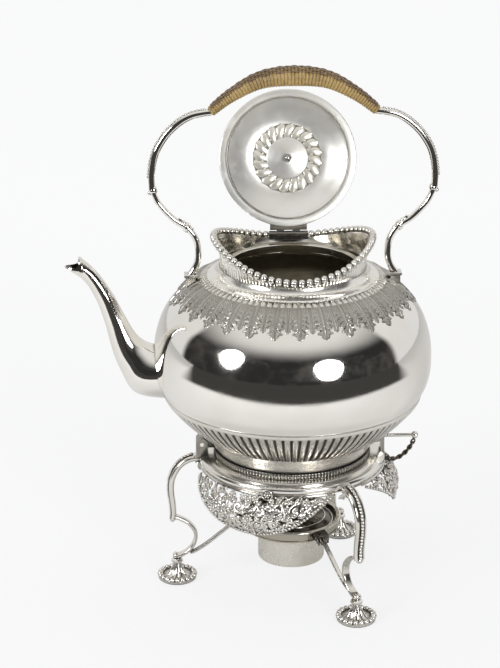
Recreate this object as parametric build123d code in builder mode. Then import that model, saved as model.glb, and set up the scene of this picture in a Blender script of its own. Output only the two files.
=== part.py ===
from build123d import *
from math import cos, radians, sin
import os

# Spirit kettle on a three-legged stand. Millimetres, +Z up, origin on the table plane under
# the kettle's axis. The spout points to -X, the locking pin to +X, the lid hinge to +Y.

# ---------------------------------------------------------------- kettle body
wall = 1.5                      # raised silver sheet
belly_bands = 9                 # conical bands that share out the belly's curve
belly_radius = 100.0
belly_z = 175.0
shoulder_z = 238.0              # flat neck flange on top of the belly
neck_radius = 57.5              # outer edge of that flange
mouth_radius = 51.0             # opening into the belly
seam_radius = 93.5              # seam between belly and fluted base
seam_z = 151.5
flute_count = 96
flute_width = 2.7               # at the surface of the bowl
flute_depth = 1.2
flute_top_radius = 90.0         # where the flutes start
flute_top_z = 144.2
flute_margin = 0.03             # share of the slope left plain above and below the flutes
base_radius = 64.0              # where the flutes end
base_z = 120.7
foot_radius = 54.6              # plain foot band that drops into the stand
foot_flare_radius = foot_radius + 7.9   # where the foot band meets the base
foot_flare_z = 107.0

# ---------------------------------------------------------------- neck and collar
neck_ring_height = 3.4
collar_wall = 1.4
collar_waist_radius = 52.6
collar_waist_z = 243.0          # the collar is straight up to here and flares above
collar_low_z = 248.0            # rim at the front and the back
collar_tip_z = 272.0            # rim over the two side tips
collar_low_radius = 56.6
collar_tip_radius = 61.6
collar_bands = 5
rim_bead = 3.4                  # section of the beaded rim
seat_bore = 45.4                # bore of the lid seat
seat_width = 4.0
seat_z = 245.6                  # top of the lid seat
seat_thickness = 3.6

# ---------------------------------------------------------------- lid
lid_radius = 50.2
lid_wall = 1.2
lid_gap = 0.4                   # closed lid over its seat
lid_dome_height = 11.0
lid_flat_radius = 31.0          # flat crown that carries boss and finial
lid_open_angle = 107.0
lid_bands = 4
bezel_clearance = 0.6
bezel_depth = 3.2
boss_radius = 25.5
boss_lobes = 18
boss_thickness = 2.0
finial_height = 25.0
finial_bands = 11
hinge_y = 55.6
hinge_z = 250.6
knuckle_radius = 2.3
knuckle_length = 5.6
knuckle_gap = 0.2
hinge_width = 28.8
hinge_plate_thickness = 1.2
hinge_pin_radius = 1.0
hinge_fit = 0.05                # radial clearance of every hinge pin

# ---------------------------------------------------------------- handle
handle_width = 6.5              # across the arms, along Y
grip_end_x = 58.0
grip_end_z = 357.5
grip_top_z = 382.0              # centre line of the grip at the middle
grip_height = 14.0
grip_depth = 14.5
grip_end_height = 5.6
grip_end_depth = 7.0
grip_sides = 16
arm_reach = 101.5               # widest point of the arms
arm_thin = 3.4                  # lower arm
arm_foot_share = 0.365          # how far out on the shoulder the arms stand
arm_bands = 6
socket_top_z = 239.5
socket_width = 9.0
leaf_thickness = 1.2

# ---------------------------------------------------------------- stand
ring_radius = 68.5
ring_top_z = 103.4
ring_edge_z = 98.4
ring_edge_height = 3.6
ledge_radius = 48.5             # bore of the ledge that carries the kettle
ledge_z = 101.6
ledge_thickness = 2.4
foot_gap = 0.3                  # kettle foot over the ledge
gallery_gap = 0.7               # kettle foot inside the gallery
gallery_wall = 1.6
gallery_top_z = 106.0
skirt_radius = 78.0             # lower edge of the pierced skirt
skirt_low_z = 68.0
skirt_end_z = 92.4              # its lower edge at both ends
skirt_span = 86.0               # angle that each panel covers
skirt_shift = 6.0               # panels sit this far past the middle between two legs
skirt_wall = 1.4
scroll_width = 1.7              # width of the C-shaped slots in the panels
scroll_turn = 250.0             # angle that each C goes round
scroll_pieces = 6               # straight pieces that make up each C
scroll_eye = 1.3                # radius of the hole inside each C
leg_count = 3
first_leg = 180.0               # azimuth of the leg under the spout
leg_width = 7.4
leg_scroll_wall = 2.8
leg_bands = 9
foot_circle = 85.0
foot_disc_radius = 14.8
foot_post_z = 16.5
foot_cone_radius = 11.0         # foot of the fluted cone
strut_width = 4.0
strut_wall = 2.4

# ---------------------------------------------------------------- burner
font_radius = 24.5
font_bottom_z = 18.0
holder_radius = 35.0
holder_wall = 1.6
holder_z = 43.0                 # underside of the holder
holder_height = 8.0
holder_shelf = 1.6
burner_gap = 0.4                # burner inside the holder and over its shelf
wick_tube_radius = 4.6
wick_radius = 3.4
burner_dome_height = 8.0
tube_height = 6.0
snuffer_radius = 7.0
snuffer_height = 9.0
snuffer_knob_radius = 2.3
snuffer_gap = 0.4

# ---------------------------------------------------------------- tilting pivot and locking pin
pivot_x = -foot_radius - 11.4
pivot_z = 110.0
pivot_radius = 4.2
pivot_pin_radius = 1.5
pivot_lug_width = 7.0
pivot_ear_width = 3.0
pivot_gap = 0.3
lock_z = 112.5
lock_pin_radius = 1.3
lock_pin_tip_x = foot_radius + 5.0
lock_knob_x = 88.0
lock_knob_radius = 2.8
lock_fit = 0.3
rear_ear_x = foot_radius + 11.8
rear_ear_width = 9.0
rear_ear_thickness = 2.6
rear_lug_width = 8.0
chain_radius = 1.2

os.makedirs("parts", exist_ok=True)


def save(builder, name):
    """Label a finished piece and write it."""
    builder.part.label = name
    export_step(builder.part, f"parts/{name}.step")


def radial_plane(azimuth):
    """Upright plane through the Z axis: local x runs outwards, local y up."""
    a = radians(azimuth)
    return Plane(origin=(0, 0, 0), x_dir=(cos(a), sin(a), 0), z_dir=(sin(a), -cos(a), 0))


def facing_plane(azimuth):
    """Upright plane at the Z axis that faces outwards: local x runs sideways, local y up."""
    a = radians(azimuth)
    return Plane(origin=(0, 0, 0), x_dir=(-sin(a), cos(a), 0), z_dir=(cos(a), sin(a), 0))


def banded(count, *points, tangents):
    """Points that share out a smooth curve evenly, so that it is made of straight pieces."""
    curve = Spline(*points, tangents=tangents, mode=Mode.PRIVATE)
    return [((curve @ (i / count)).X, (curve @ (i / count)).Y) for i in range(count + 1)]


def beside(points, distance):
    """The same row of points moved to its left by a distance."""
    moved = []
    for i, (x, y) in enumerate(points):
        before, after = points[max(i - 1, 0)], points[min(i + 1, len(points) - 1)]
        way = Vector(after[0] - before[0], after[1] - before[1]).normalized()
        moved.append((x - way.Y * distance, y + way.X * distance))
    return moved


def ribbon(points, width):
    """Draw a strip of even width along a row of points."""
    Polygon(*beside(points, width / 2), *reversed(beside(points, -width / 2)), align=None)


def oval(width, height, count):
    """Corners of a many-sided oval."""
    turns = [radians(360 * i / count) for i in range(count)]
    return [(width / 2 * cos(t), height / 2 * sin(t)) for t in turns]


section = radial_plane(0)       # every turned profile is drawn here
leg_azimuths = [first_leg + i * 360 / leg_count for i in range(leg_count)]
side_names = ["left", "front", "rear"]

# ================================================================ kettle body
def shoulder_x(share):
    """Distance from the axis at a share of the way from the neck to the widest line."""
    return neck_radius + share * (belly_radius - neck_radius)


belly_profile = banded(
    belly_bands,
    (neck_radius, shoulder_z),
    (shoulder_x(0.424), 229.5),
    (shoulder_x(0.788), 212.5),
    (belly_radius, belly_z),
    (seam_radius, seam_z),
    tangents=[(1, -0.15), (-0.38, -1)],
)
arm_foot_x = shoulder_x(arm_foot_share)

with BuildPart() as belly_core:         # the belly's outside as a solid tool
    with BuildSketch(section):
        Polygon(*belly_profile, (0, seam_z), (0, shoulder_z), align=None)
    revolve(axis=Axis.Z)

band_point = (seam_radius - 0.7, seam_z - 3.0)  # foot of the plain band under the seam
flute_top = (flute_top_radius, flute_top_z)
flute_end = (base_radius, base_z)
with BuildPart() as body_core:          # belly and base together as a solid tool
    add(belly_core.part)
    with BuildSketch(section):
        Polygon((0, seam_z), (seam_radius, seam_z), band_point, flute_top, flute_end, (0, base_z), align=None)
    revolve(axis=Axis.Z)

# Spout sections from root to lip: centre x, centre z, height, depth and lean of the axis.
spout_sections = [
    (-84.0, 168.5, 46.0, 45.0, 2.0),
    (-104.0, 168.0, 40.0, 36.0, 28.0),
    (-114.5, 177.5, 28.0, 25.5, 42.0),
    (-121.5, 190.0, 20.0, 18.5, 62.0),
    (-127.5, 206.0, 15.2, 14.4, 68.0),
    (-135.0, 224.0, 12.4, 11.8, 62.0),
    (-144.5, 239.0, 11.2, 10.8, 52.0),
    (-157.0, 249.5, 13.4, 12.6, 56.0),
]
spout_wall = 1.3
spout_sides = 20


def spout_form(shrink, overrun):
    """Solid lofted through the spout's sections, smaller all round and longer at both ends."""
    last = len(spout_sections) - 1
    with BuildPart() as form:
        for i, (x, z, height, depth, lean) in enumerate(spout_sections):
            a = radians(180 - lean)
            along = Vector(cos(a), 0, sin(a))
            across = Vector(sin(a), 0, -cos(a))
            push = overrun if i == last else -overrun if i == 0 else 0
            plane = Plane(origin=Vector(x, 0, z) + along * push, x_dir=across, z_dir=along)
            with BuildSketch(plane):
                Polygon(*oval(height - 2 * shrink, depth - 2 * shrink, spout_sides), align=None)
        loft(ruled=True)
    return form.part


spout_bore = spout_form(spout_wall, 1.0)

with BuildPart() as spout:
    add(spout_form(0, 0))
    add(body_core.part, mode=Mode.SUBTRACT)
    add(spout_bore, mode=Mode.SUBTRACT)
save(spout, "spout")

with BuildPart() as kettle_shell:
    lining = beside(belly_profile, -wall)[:-1] + [(seam_radius - wall, seam_z)]
    with BuildSketch(section):
        Polygon(*belly_profile, *reversed(lining), (mouth_radius, shoulder_z - wall),
                (mouth_radius, shoulder_z), align=None)
    revolve(axis=Axis.Z)
    add(spout_bore, mode=Mode.SUBTRACT)
save(kettle_shell, "kettle_shell")

# Fluted base: a plain band under the seam, then a cone cut by flutes down to the foot.
floor_z = base_z + wall         # inside floor of the kettle
with BuildPart() as fluted_base:
    with BuildSketch(section):
        with BuildLine():
            Polyline((seam_radius, seam_z), band_point, flute_top, flute_end, (0, base_z), (0, floor_z),
                     (base_radius - wall, floor_z), (flute_top_radius - 1.4 * wall, flute_top_z),
                     (seam_radius - wall, seam_z), close=True)
        make_face()
    revolve(axis=Axis.Z)

flute_slope = Vector(base_radius - flute_top_radius, 0, base_z - flute_top_z)
flute_out = Vector(-flute_slope.Z, 0, flute_slope.X).normalized()
flute_first = Vector(flute_top_radius, 0, flute_top_z) + flute_slope * flute_margin
flute_start = Plane(origin=flute_first, x_dir=flute_out, z_dir=flute_slope)
with BuildPart() as flute:              # one V-shaped cutter
    with BuildSketch(flute_start):
        Polygon((-flute_depth, 0), (flute_depth, flute_width), (flute_depth, -flute_width), align=None)
    extrude(amount=flute_slope.length * (1 - 2 * flute_margin))
with fluted_base:
    with PolarLocations(0, flute_count):
        add(flute.part, mode=Mode.SUBTRACT)
save(fluted_base, "fluted_base")

foot_bottom = ledge_z + foot_gap
with BuildPart() as foot_band:          # plain foot that drops into the stand's gallery
    with BuildSketch(section):
        Polygon((foot_flare_radius, base_z), (foot_radius + 1.0, foot_flare_z), (foot_radius, foot_flare_z),
                (foot_radius, foot_bottom), (foot_radius - wall, foot_bottom),
                (foot_radius - wall, base_z), align=None)
    revolve(axis=Axis.Z)
save(foot_band, "foot_band")

# ================================================================ neck, collar and lid seat
with BuildPart() as neck_ring:          # rolled ring round the foot of the collar
    with BuildSketch(section):
        with BuildLine():
            r, top = neck_radius, shoulder_z + neck_ring_height
            Polyline((collar_waist_radius, shoulder_z), (r - 0.8, shoulder_z), (r + 0.4, shoulder_z + 1.0),
                     (r + 0.4, top - 1.0), (r - 0.8, top), (collar_waist_radius, top), close=True)
        make_face()
    revolve(axis=Axis.Z)
save(neck_ring, "neck_ring")


hinge_seat_z = hinge_z - knuckle_radius - hinge_plate_thickness


flare_line = banded(
    collar_bands,
    (collar_waist_radius, collar_waist_z),
    (collar_low_radius, collar_low_z + 1.0),
    (collar_tip_radius, collar_tip_z + 4.0),
    tangents=[(0.25, 1), (0.05, 1)],
)


def collar_flare(proud):
    """Face of the collar's wall in section, thicker by proud on both sides."""
    with BuildSketch(section) as flare:
        thick = collar_wall + 2 * proud
        Polygon(*[(r + proud, z) for r, z in flare_line],
                *[(r + proud - thick, z) for r, z in reversed(flare_line)], align=None)
    return flare.sketch


def saddle(lift):
    """Curve of the rim seen from the front, lifted by an amount."""
    return [(-collar_tip_radius - 8.0, collar_tip_z + 4.5 + lift), (0, collar_low_z + lift),
            (collar_tip_radius + 8.0, collar_tip_z + 4.5 + lift)]


def rim_band(lift, height):
    """Slab between two saddle curves, as seen from the front, long enough to cut the collar."""
    with BuildPart() as slab:
        with BuildSketch(Plane.XZ):
            with BuildLine():
                low, high = saddle(lift), saddle(lift + height)
                ThreePointArc(*low)
                Line(low[2], high[2])
                ThreePointArc(*high)
                Line(high[0], low[0])
            make_face()
        extrude(amount=2 * collar_tip_radius, both=True)
    return slab.part


with BuildPart() as collar:
    add(collar_flare(0))
    revolve(axis=Axis.Z)
    with BuildSketch(section):
        with BuildLine():
            Polyline((collar_waist_radius, collar_waist_z), (collar_waist_radius, shoulder_z),
                     (collar_waist_radius - collar_wall, shoulder_z),
                     (collar_waist_radius - collar_wall, collar_waist_z), close=True)
        make_face()
    revolve(axis=Axis.Z)
    add(rim_band(0, 30), mode=Mode.SUBTRACT)
    with Locations((0, hinge_y, hinge_seat_z)):     # notch under the hinge
        Box(hinge_width + 1.0, 16, 20, align=(Align.CENTER, Align.CENTER, Align.MIN),
            mode=Mode.SUBTRACT)
save(collar, "collar")

with BuildPart() as rim_beading:        # beaded wire that caps the saddle edge
    add(collar_flare((rim_bead - collar_wall) / 2))
    revolve(axis=Axis.Z)
    add(rim_band(0, rim_bead), mode=Mode.INTERSECT)
    with Locations((0, hinge_y, hinge_seat_z)):
        Box(hinge_width + 1.0, 16, 20, align=(Align.CENTER, Align.CENTER, Align.MIN),
            mode=Mode.SUBTRACT)
save(rim_beading, "rim_beading")

with BuildPart() as lid_seat:           # stepped ring inside the collar
    inner = collar_waist_radius - collar_wall
    with BuildSketch(section):
        with BuildLine():
            Polyline((seat_bore, seat_z - seat_thickness), (inner, seat_z - seat_thickness),
                     (inner, collar_waist_z), (seat_bore + seat_width, collar_waist_z),
                     (seat_bore + seat_width, seat_z), (seat_bore, seat_z), close=True)
        make_face()
    revolve(axis=Axis.Z)
save(lid_seat, "lid_seat")

# ================================================================ lid, drawn in its open pose
def lid_point(y, z):
    """Where a point of the closed lid lies once the lid is swung open."""
    a = radians(-lid_open_angle)
    dy, dz = y - hinge_y, z - hinge_z
    return Vector(0, hinge_y + dy * cos(a) - dz * sin(a), hinge_z + dy * sin(a) + dz * cos(a))


lid_z = seat_z + lid_gap                # underside of the closed lid's flange
lid_origin = lid_point(0, lid_z)
lid_up = (lid_point(0, lid_z + 1) - lid_origin).normalized()
lid_face = Plane(origin=lid_origin, x_dir=(1, 0, 0), z_dir=lid_up)
lid_section = Plane(origin=lid_origin, x_dir=(1, 0, 0), z_dir=Vector(1, 0, 0).cross(lid_up))
lid_axis = Axis(lid_origin, lid_up)
bezel_radius = seat_bore - bezel_clearance
crown_z = lid_dome_height - lid_wall    # inside of the flat crown

rim_top = lid_wall + 0.4
dome_line = banded(
    lid_bands,
    (bezel_radius + 2.0, rim_top),
    (bezel_radius - 1.6, 6.4),
    (lid_flat_radius, lid_dome_height),
    tangents=[(-0.4, 1), (-1, 0.1)],
)
with BuildPart() as lid_dome:
    with BuildSketch(lid_section):
        Polygon((0, crown_z), (lid_flat_radius, crown_z), (bezel_radius, 0), (lid_radius, 0),
                (lid_radius, rim_top), *dome_line, (0, lid_dome_height), align=None)
    revolve(axis=lid_axis)
save(lid_dome, "lid_dome")

with BuildPart() as lid_bezel:          # ring that drops into the seat
    with BuildSketch(lid_face):
        Circle(bezel_radius)
        Circle(bezel_radius - lid_wall, mode=Mode.SUBTRACT)
    extrude(amount=-bezel_depth)
save(lid_bezel, "lid_bezel")

with BuildPart() as leaf_boss:          # embossed ring of lobes under the crown
    with BuildSketch(lid_face.offset(crown_z - boss_thickness)):
        Circle(boss_radius - 2.5)
        with PolarLocations(boss_radius - 3.0, boss_lobes):
            RegularPolygon(3.8, 8)
        Circle(boss_radius - 9.5, mode=Mode.SUBTRACT)
    extrude(amount=boss_thickness)
save(leaf_boss, "leaf_boss")

cone_radius = boss_radius - 10.0
cone_depth = 4.5
nut_height = 3.0
with BuildPart() as boss_cone:          # dished washer inside the ring
    with BuildSketch(lid_section):
        Polygon((0, crown_z), (cone_radius, crown_z), (cone_radius, crown_z - 1.2),
                (4.5, crown_z - cone_depth), (0, crown_z - cone_depth), align=None)
    revolve(axis=lid_axis)
save(boss_cone, "boss_cone")

with BuildPart() as finial_nut:
    with BuildSketch(lid_face.offset(crown_z - cone_depth)):
        RegularPolygon(3.4, 6)
    extrude(amount=-nut_height)
save(finial_nut, "finial_nut")

top = lid_dome_height + finial_height
finial_line = banded(
    finial_bands,
    (9.0, lid_dome_height),
    (4.2, lid_dome_height + 3.6),
    (2.6, lid_dome_height + 7.0),
    (6.6, lid_dome_height + 12.5),
    (4.4, lid_dome_height + 18.0),
    (2.4, lid_dome_height + 21.0),
    (0, top),
    tangents=[(-0.2, 1), (-1, 0)],
)
with BuildPart() as finial:             # turned urn finial on top of the lid
    with BuildSketch(lid_section):
        Polygon(*finial_line, (0, lid_dome_height), align=None)
    revolve(axis=lid_axis)
save(finial, "finial")

# ================================================================ lid hinge
knuckle_pitch = knuckle_length + knuckle_gap


def knuckle_ring(x, bore):
    """One hinge knuckle along X, centred on x."""
    with BuildPart() as ring:
        with BuildSketch(Plane.YZ.offset(x - knuckle_length / 2)):
            with Locations((hinge_y, hinge_z)):
                Circle(knuckle_radius)
                Circle(bore, mode=Mode.SUBTRACT)
        extrude(amount=knuckle_length)
    return ring.part


hinge_pin_length = hinge_width
with BuildPart() as hinge_pin:
    with BuildSketch(Plane.YZ.offset(-hinge_pin_length / 2)):
        with Locations((hinge_y, hinge_z)):
            Circle(hinge_pin_radius)
    extrude(amount=hinge_pin_length)
save(hinge_pin, "hinge_pin")

with BuildPart() as hinge_plate:        # kettle half: three knuckles on a plate over the collar
    for i in (-2, 0, 2):
        with BuildSketch(Plane.YZ.offset(i * knuckle_pitch - knuckle_length / 2)):
            with Locations((hinge_y, hinge_z)):
                Circle(knuckle_radius)
            with Locations((hinge_y, (hinge_z + hinge_seat_z) / 2)):
                Rectangle(2 * knuckle_radius, hinge_z - hinge_seat_z)
        extrude(amount=knuckle_length)
    with BuildSketch(Plane.YZ.offset(-hinge_width / 2)):
        with Locations((hinge_y - 0.6, hinge_seat_z + hinge_plate_thickness / 2 - 0.1)):
            Rectangle(2 * knuckle_radius + 1.2, hinge_plate_thickness - 0.2)
    extrude(amount=hinge_width)
    with BuildSketch(Plane.YZ.offset(-hinge_width)):
        with Locations((hinge_y, hinge_z)):
            Circle(hinge_pin_radius)
    extrude(amount=2 * hinge_width, mode=Mode.SUBTRACT)
save(hinge_plate, "hinge_plate")

knuckle_clear = knuckle_radius + 0.6    # the leaf passes this far from the hinge line
flange_top = lid_z + rim_top
leaf_outline = [
    (lid_radius - 3.0, flange_top),
    (lid_radius, flange_top),
    (hinge_y - knuckle_clear, hinge_z - 1.2),
    (hinge_y - knuckle_clear, hinge_z + 0.8),
    (lid_radius - 3.0, flange_top + 1.8),
]
link_outline = [
    (hinge_y - knuckle_clear, hinge_z - 1.2),
    (hinge_y - 1.6, hinge_z - 1.2),
    (hinge_y - 1.6, hinge_z + 1.2),
    (hinge_y - knuckle_clear, hinge_z + 0.8),
]


def lid_strip(x, width, outline):
    """Strip along X with an outline given for the closed lid."""
    with BuildPart() as strip:
        with BuildSketch(Plane.YZ.offset(x - width / 2)):
            Polygon(*[(lid_point(y, z).Y, lid_point(y, z).Z) for y, z in outline], align=None)
        extrude(amount=width)
    return strip.part


with BuildPart() as lid_hinge_leaf:     # lid half: a wide leaf on the flange and two knuckles
    add(lid_strip(0, hinge_width - 1.8, leaf_outline))
    for i in (-1, 1):
        add(knuckle_ring(i * knuckle_pitch, hinge_pin_radius + hinge_fit))
        add(lid_strip(i * knuckle_pitch, knuckle_length, link_outline))
save(lid_hinge_leaf, "lid_hinge_leaf")

# ================================================================ handle
grip_points = [
    (-grip_end_x, grip_end_z),
    (-43.0, 369.0),
    (-23.0, 379.3),
    (0, grip_top_z),
    (23.0, 379.3),
    (43.0, 369.0),
    (grip_end_x, grip_end_z),
]
grip_heights = [grip_end_height, 9.0, 12.2, grip_height, 12.2, 9.0, grip_end_height]
grip_depths = [grip_end_depth, 10.0, 13.0, grip_depth, 13.0, 10.0, grip_end_depth]

with BuildLine(Plane.XZ) as grip_line:
    Spline(*grip_points, tangents=[(1, 0.5), (1, -0.5)])
grip_path = grip_line.edges()[0]

with BuildPart() as handle_grip:        # cane-wrapped grip, thickest in the middle
    for (x, z), height, depth in zip(grip_points, grip_heights, grip_depths):
        share = grip_path.param_at_point(Vector(x, 0, z))
        spot = Plane(origin=grip_path @ share, x_dir=(0, 1, 0), z_dir=grip_path % share)
        with BuildSketch(spot):
            Polygon(*oval(depth, height, grip_sides), align=None)
    loft(ruled=True)
save(handle_grip, "handle_grip")

# Arm points are shares of the way from the grip's end, or from the socket, to the widest line.
def from_grip(share):
    return -(grip_end_x + share * (arm_reach - grip_end_x))


def from_foot(share):
    return -(arm_foot_x + share * (arm_reach - arm_foot_x))


arm_outer = banded(
    arm_bands,
    (-grip_end_x - 1.0, grip_end_z + 2.6),
    (from_grip(0.333), 357.3),
    (from_grip(0.759), 343.0),
    (-arm_reach, 317.0),
    (-arm_reach, 301.0),
    tangents=[(-1, -0.15), (0.02, -1)],
)
arm_inner = banded(
    arm_bands,
    (from_grip(0.906), 303.5),
    (from_grip(0.887), 318.0),
    (from_grip(0.690), 338.0),
    (from_grip(0.299), 351.2),
    (-grip_end_x - 1.0, grip_end_z - 2.4),
    tangents=[(0.05, 1), (1, 0.2)],
)
arm_lower = banded(
    2 * arm_bands,
    (from_foot(0.92), 307.0),
    (from_foot(0.754), 291.0),
    (from_foot(0.404), 279.5),
    (from_foot(0.053), 273.0),
    (from_foot(-0.175), 263.0),
    (from_foot(-0.189), 252.0),
    (-arm_foot_x, socket_top_z),
    tangents=[(0.1, -1), (-0.5, -1)],
)
with BuildPart() as handle_arm_left:    # cast arm: tapered scroll above, thin scroll below
    with BuildSketch(Plane.XZ):
        Polygon(*arm_outer, *arm_inner, align=None)
        Polygon(*beside(arm_lower, arm_thin / 2), *reversed(beside(arm_lower, -arm_thin / 2)), align=None)
        with Locations((from_foot(0.035), 273.0)):
            RegularPolygon(3.8, 8)
        with Locations((-arm_foot_x, socket_top_z - 5)):
            Rectangle(16, 10, mode=Mode.SUBTRACT)
    extrude(amount=handle_width / 2, both=True)
    split(bisect_by=Plane(grip_path @ 0, z_dir=grip_path % 0), keep=Keep.BOTTOM)
save(handle_arm_left, "handle_arm_left")

with BuildPart() as handle_arm_right:
    add(mirror(handle_arm_left.part, about=Plane.YZ, mode=Mode.PRIVATE))
save(handle_arm_right, "handle_arm_right")


def socket(side):
    """Block on the shoulder that holds a handle arm; side is -1 at the spout, +1 at the rear."""
    with BuildPart() as block:
        with BuildSketch(Plane.XY.offset(socket_top_z)):
            with Locations((side * arm_foot_x, 0)):
                Rectangle(socket_width, handle_width + 3.0)
        extrude(amount=-2.2)
        with BuildSketch(Plane.XY.offset(socket_top_z - 2.2)):
            with Locations((side * arm_foot_x, 0)):
                Rectangle(socket_width - 2.0, handle_width + 1.0)
        extrude(amount=-14.0)
        add(belly_core.part, mode=Mode.SUBTRACT)
    return block


save(socket(-1), "handle_socket_left")
save(socket(1), "handle_socket_right")

with BuildPart() as leaf_strip:         # strip of sheet that lies on the shoulder
    with BuildSketch(section):
        Polygon(*belly_profile, *reversed(beside(belly_profile, leaf_thickness)), align=None)
    revolve(axis=Axis.Z)


def leaf_plate(side):
    """Pointed leaf that fixes a handle socket to the shoulder."""
    with BuildPart() as plate:
        with BuildSketch(Plane.XY.offset(belly_z + 10)):
            with BuildLine():
                tip, waist = side * shoulder_x(0.788), side * shoulder_x(0.682)
                heel_out, heel_in = side * shoulder_x(0.518), side * shoulder_x(0.224)
                Polyline((waist, 3.6), (heel_out, 5.0), (heel_in, 7.0), (heel_in, -7.0),
                         (heel_out, -5.0), (waist, -3.6), (tip, 0), close=True)
            make_face()
        extrude(amount=60)
        add(leaf_strip.part, mode=Mode.INTERSECT)
        add(socket(side).part, mode=Mode.SUBTRACT)
    return plate


save(leaf_plate(-1), "leaf_plate_left")
save(leaf_plate(1), "leaf_plate_right")

# ================================================================ stand: ring, gallery and skirt
gallery_radius = foot_radius + gallery_gap
gallery_outer = gallery_radius + gallery_wall
with BuildPart() as gallery_band:       # milled band that locates the kettle's foot
    with BuildSketch(section):
        with BuildLine():
            Polyline((gallery_radius, ledge_z), (gallery_outer, ledge_z), (gallery_outer, gallery_top_z),
                     (gallery_radius, gallery_top_z), close=True)
        make_face()
    revolve(axis=Axis.Z)
save(gallery_band, "gallery_band")

ring_under_z = ring_edge_z - ring_edge_height
with BuildPart() as stand_ring:         # polished ogee ring with the ledge that carries the kettle
    with BuildSketch(section):
        with BuildLine():
            ledge_under = ledge_z - ledge_thickness
            Polyline((ledge_radius, ledge_z), (gallery_outer, ledge_z), (gallery_outer, ring_top_z),
                     (gallery_outer + 1.2, ring_top_z), (ring_radius - 3.2, ring_edge_z + 3.0),
                     (ring_radius, ring_edge_z), (ring_radius, ring_under_z),
                     (ring_radius - 3.4, ring_under_z), (ring_radius - 5.0, ledge_under - 1.6),
                     (ring_radius - 9.0, ledge_under), (ledge_radius, ledge_under), close=True)
        make_face()
    revolve(axis=Axis.Z)
save(stand_ring, "stand_ring")

skirt_top_radius = ring_radius - 1.6
skirt_line = [(skirt_top_radius, ring_under_z), (skirt_radius - 4.4, skirt_low_z + 14),
              (skirt_radius, skirt_low_z)]
# Rows of C-scrolls in a panel: height, number on each side of the middle, pitch and radius.
scroll_rows = [(88.0, 5, 9.2, 3.5), (78.4, 3, 9.2, 3.6)]


def scroll_slot(x, z, radius, side):
    """C-shaped slot with a small eye, open towards the middle of its panel."""
    turns = [radians(scroll_turn * (i / scroll_pieces - 0.5)) for i in range(scroll_pieces + 1)]
    ribbon([(x + side * radius * cos(t), z + radius * sin(t)) for t in turns], scroll_width)
    with Locations((x, z)):
        RegularPolygon(scroll_eye, 4)


def skirt(azimuth):
    """Apron between two legs, centred on an azimuth and pierced with C-scrolls."""
    with BuildPart() as panel:
        with BuildSketch(radial_plane(azimuth - skirt_span / 2)):
            Polygon(*skirt_line, *[(r - skirt_wall, z) for r, z in reversed(skirt_line)], align=None)
        revolve(axis=Axis.Z, revolution_arc=skirt_span)
        half = skirt_radius * sin(radians(skirt_span / 2))
        with BuildSketch(facing_plane(azimuth)):
            with BuildLine():           # everything below the lunette
                Polyline((-half, skirt_end_z), (-half - 10, skirt_end_z), (-half - 10, skirt_low_z - 9),
                         (half + 10, skirt_low_z - 9), (half + 10, skirt_end_z), (half, skirt_end_z))
                ThreePointArc((half, skirt_end_z), (0, skirt_low_z), (-half, skirt_end_z))
            make_face()
        extrude(amount=2 * skirt_radius, mode=Mode.SUBTRACT)
        with BuildSketch(facing_plane(azimuth)):
            for row_z, count, pitch, radius in scroll_rows:
                for i in range(count):
                    for side in (-1, 1):
                        scroll_slot(side * (i + 0.5) * pitch, row_z, radius, side)
        extrude(amount=2 * skirt_radius, mode=Mode.SUBTRACT)
    return panel


skirt_azimuths = [a + 180 / leg_count + skirt_shift for a in leg_azimuths]
skirt_names = ["spout_front", "rear", "spout_back"]
for azimuth, name in zip(skirt_azimuths, skirt_names):
    save(skirt(azimuth), f"skirt_{name}")

with BuildPart() as rosettes:           # small flower on the ring edge over each panel
    for azimuth in skirt_azimuths:
        with BuildSketch(facing_plane(azimuth).offset(ring_radius)):
            with Locations((0, ring_edge_z - ring_edge_height / 2)):
                RegularPolygon(2.4, 6)
                with PolarLocations(2.4, 6):
                    RegularPolygon(1.4, 6)
        extrude(amount=1.8)
save(rosettes, "rosettes")

# ================================================================ legs, feet and struts
leg_outer = banded(
    leg_bands,
    (ring_radius, 102.0),
    (79.0, 99.0),
    (88.6, 86.0),
    (90.6, 72.0),
    (88.8, 60.0),
    (89.4, 48.6),
    tangents=[(1, -0.1), (0.25, -1)],
)
leg_inner = banded(
    leg_bands,
    (85.4, 50.0),
    (85.2, 62.0),
    (86.0, 75.0),
    (79.6, 89.6),
    (ring_radius, 94.4),
    tangents=[(-0.05, 1), (-1, 0.1)],
)
leg_scroll = banded(
    leg_bands + 3,
    (86.6, 49.6),
    (78.0, 47.8),
    (70.8, 36.0),
    (74.0, 24.5),
    (foot_circle + 1.0, foot_post_z + 1.4),
    tangents=[(-1, 0), (1, -0.2)],
)
strut_line = banded(
    leg_bands - 3,
    (75.0, 20.4),
    (58.0, 32.0),
    (holder_radius, holder_z + holder_height / 2),
    tangents=[(-1, 0.3), (-1, 0.3)],
)


def leg(azimuth):
    """Cast leg: a ribbon that bows outwards to a spur, then a C-scroll down to the foot."""
    with BuildPart() as casting:
        with BuildSketch(radial_plane(azimuth)):
            Polygon(*leg_outer, *leg_inner, align=None)
            ribbon(leg_scroll, leg_scroll_wall)
        extrude(amount=leg_width / 2, both=True)
    return casting


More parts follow.
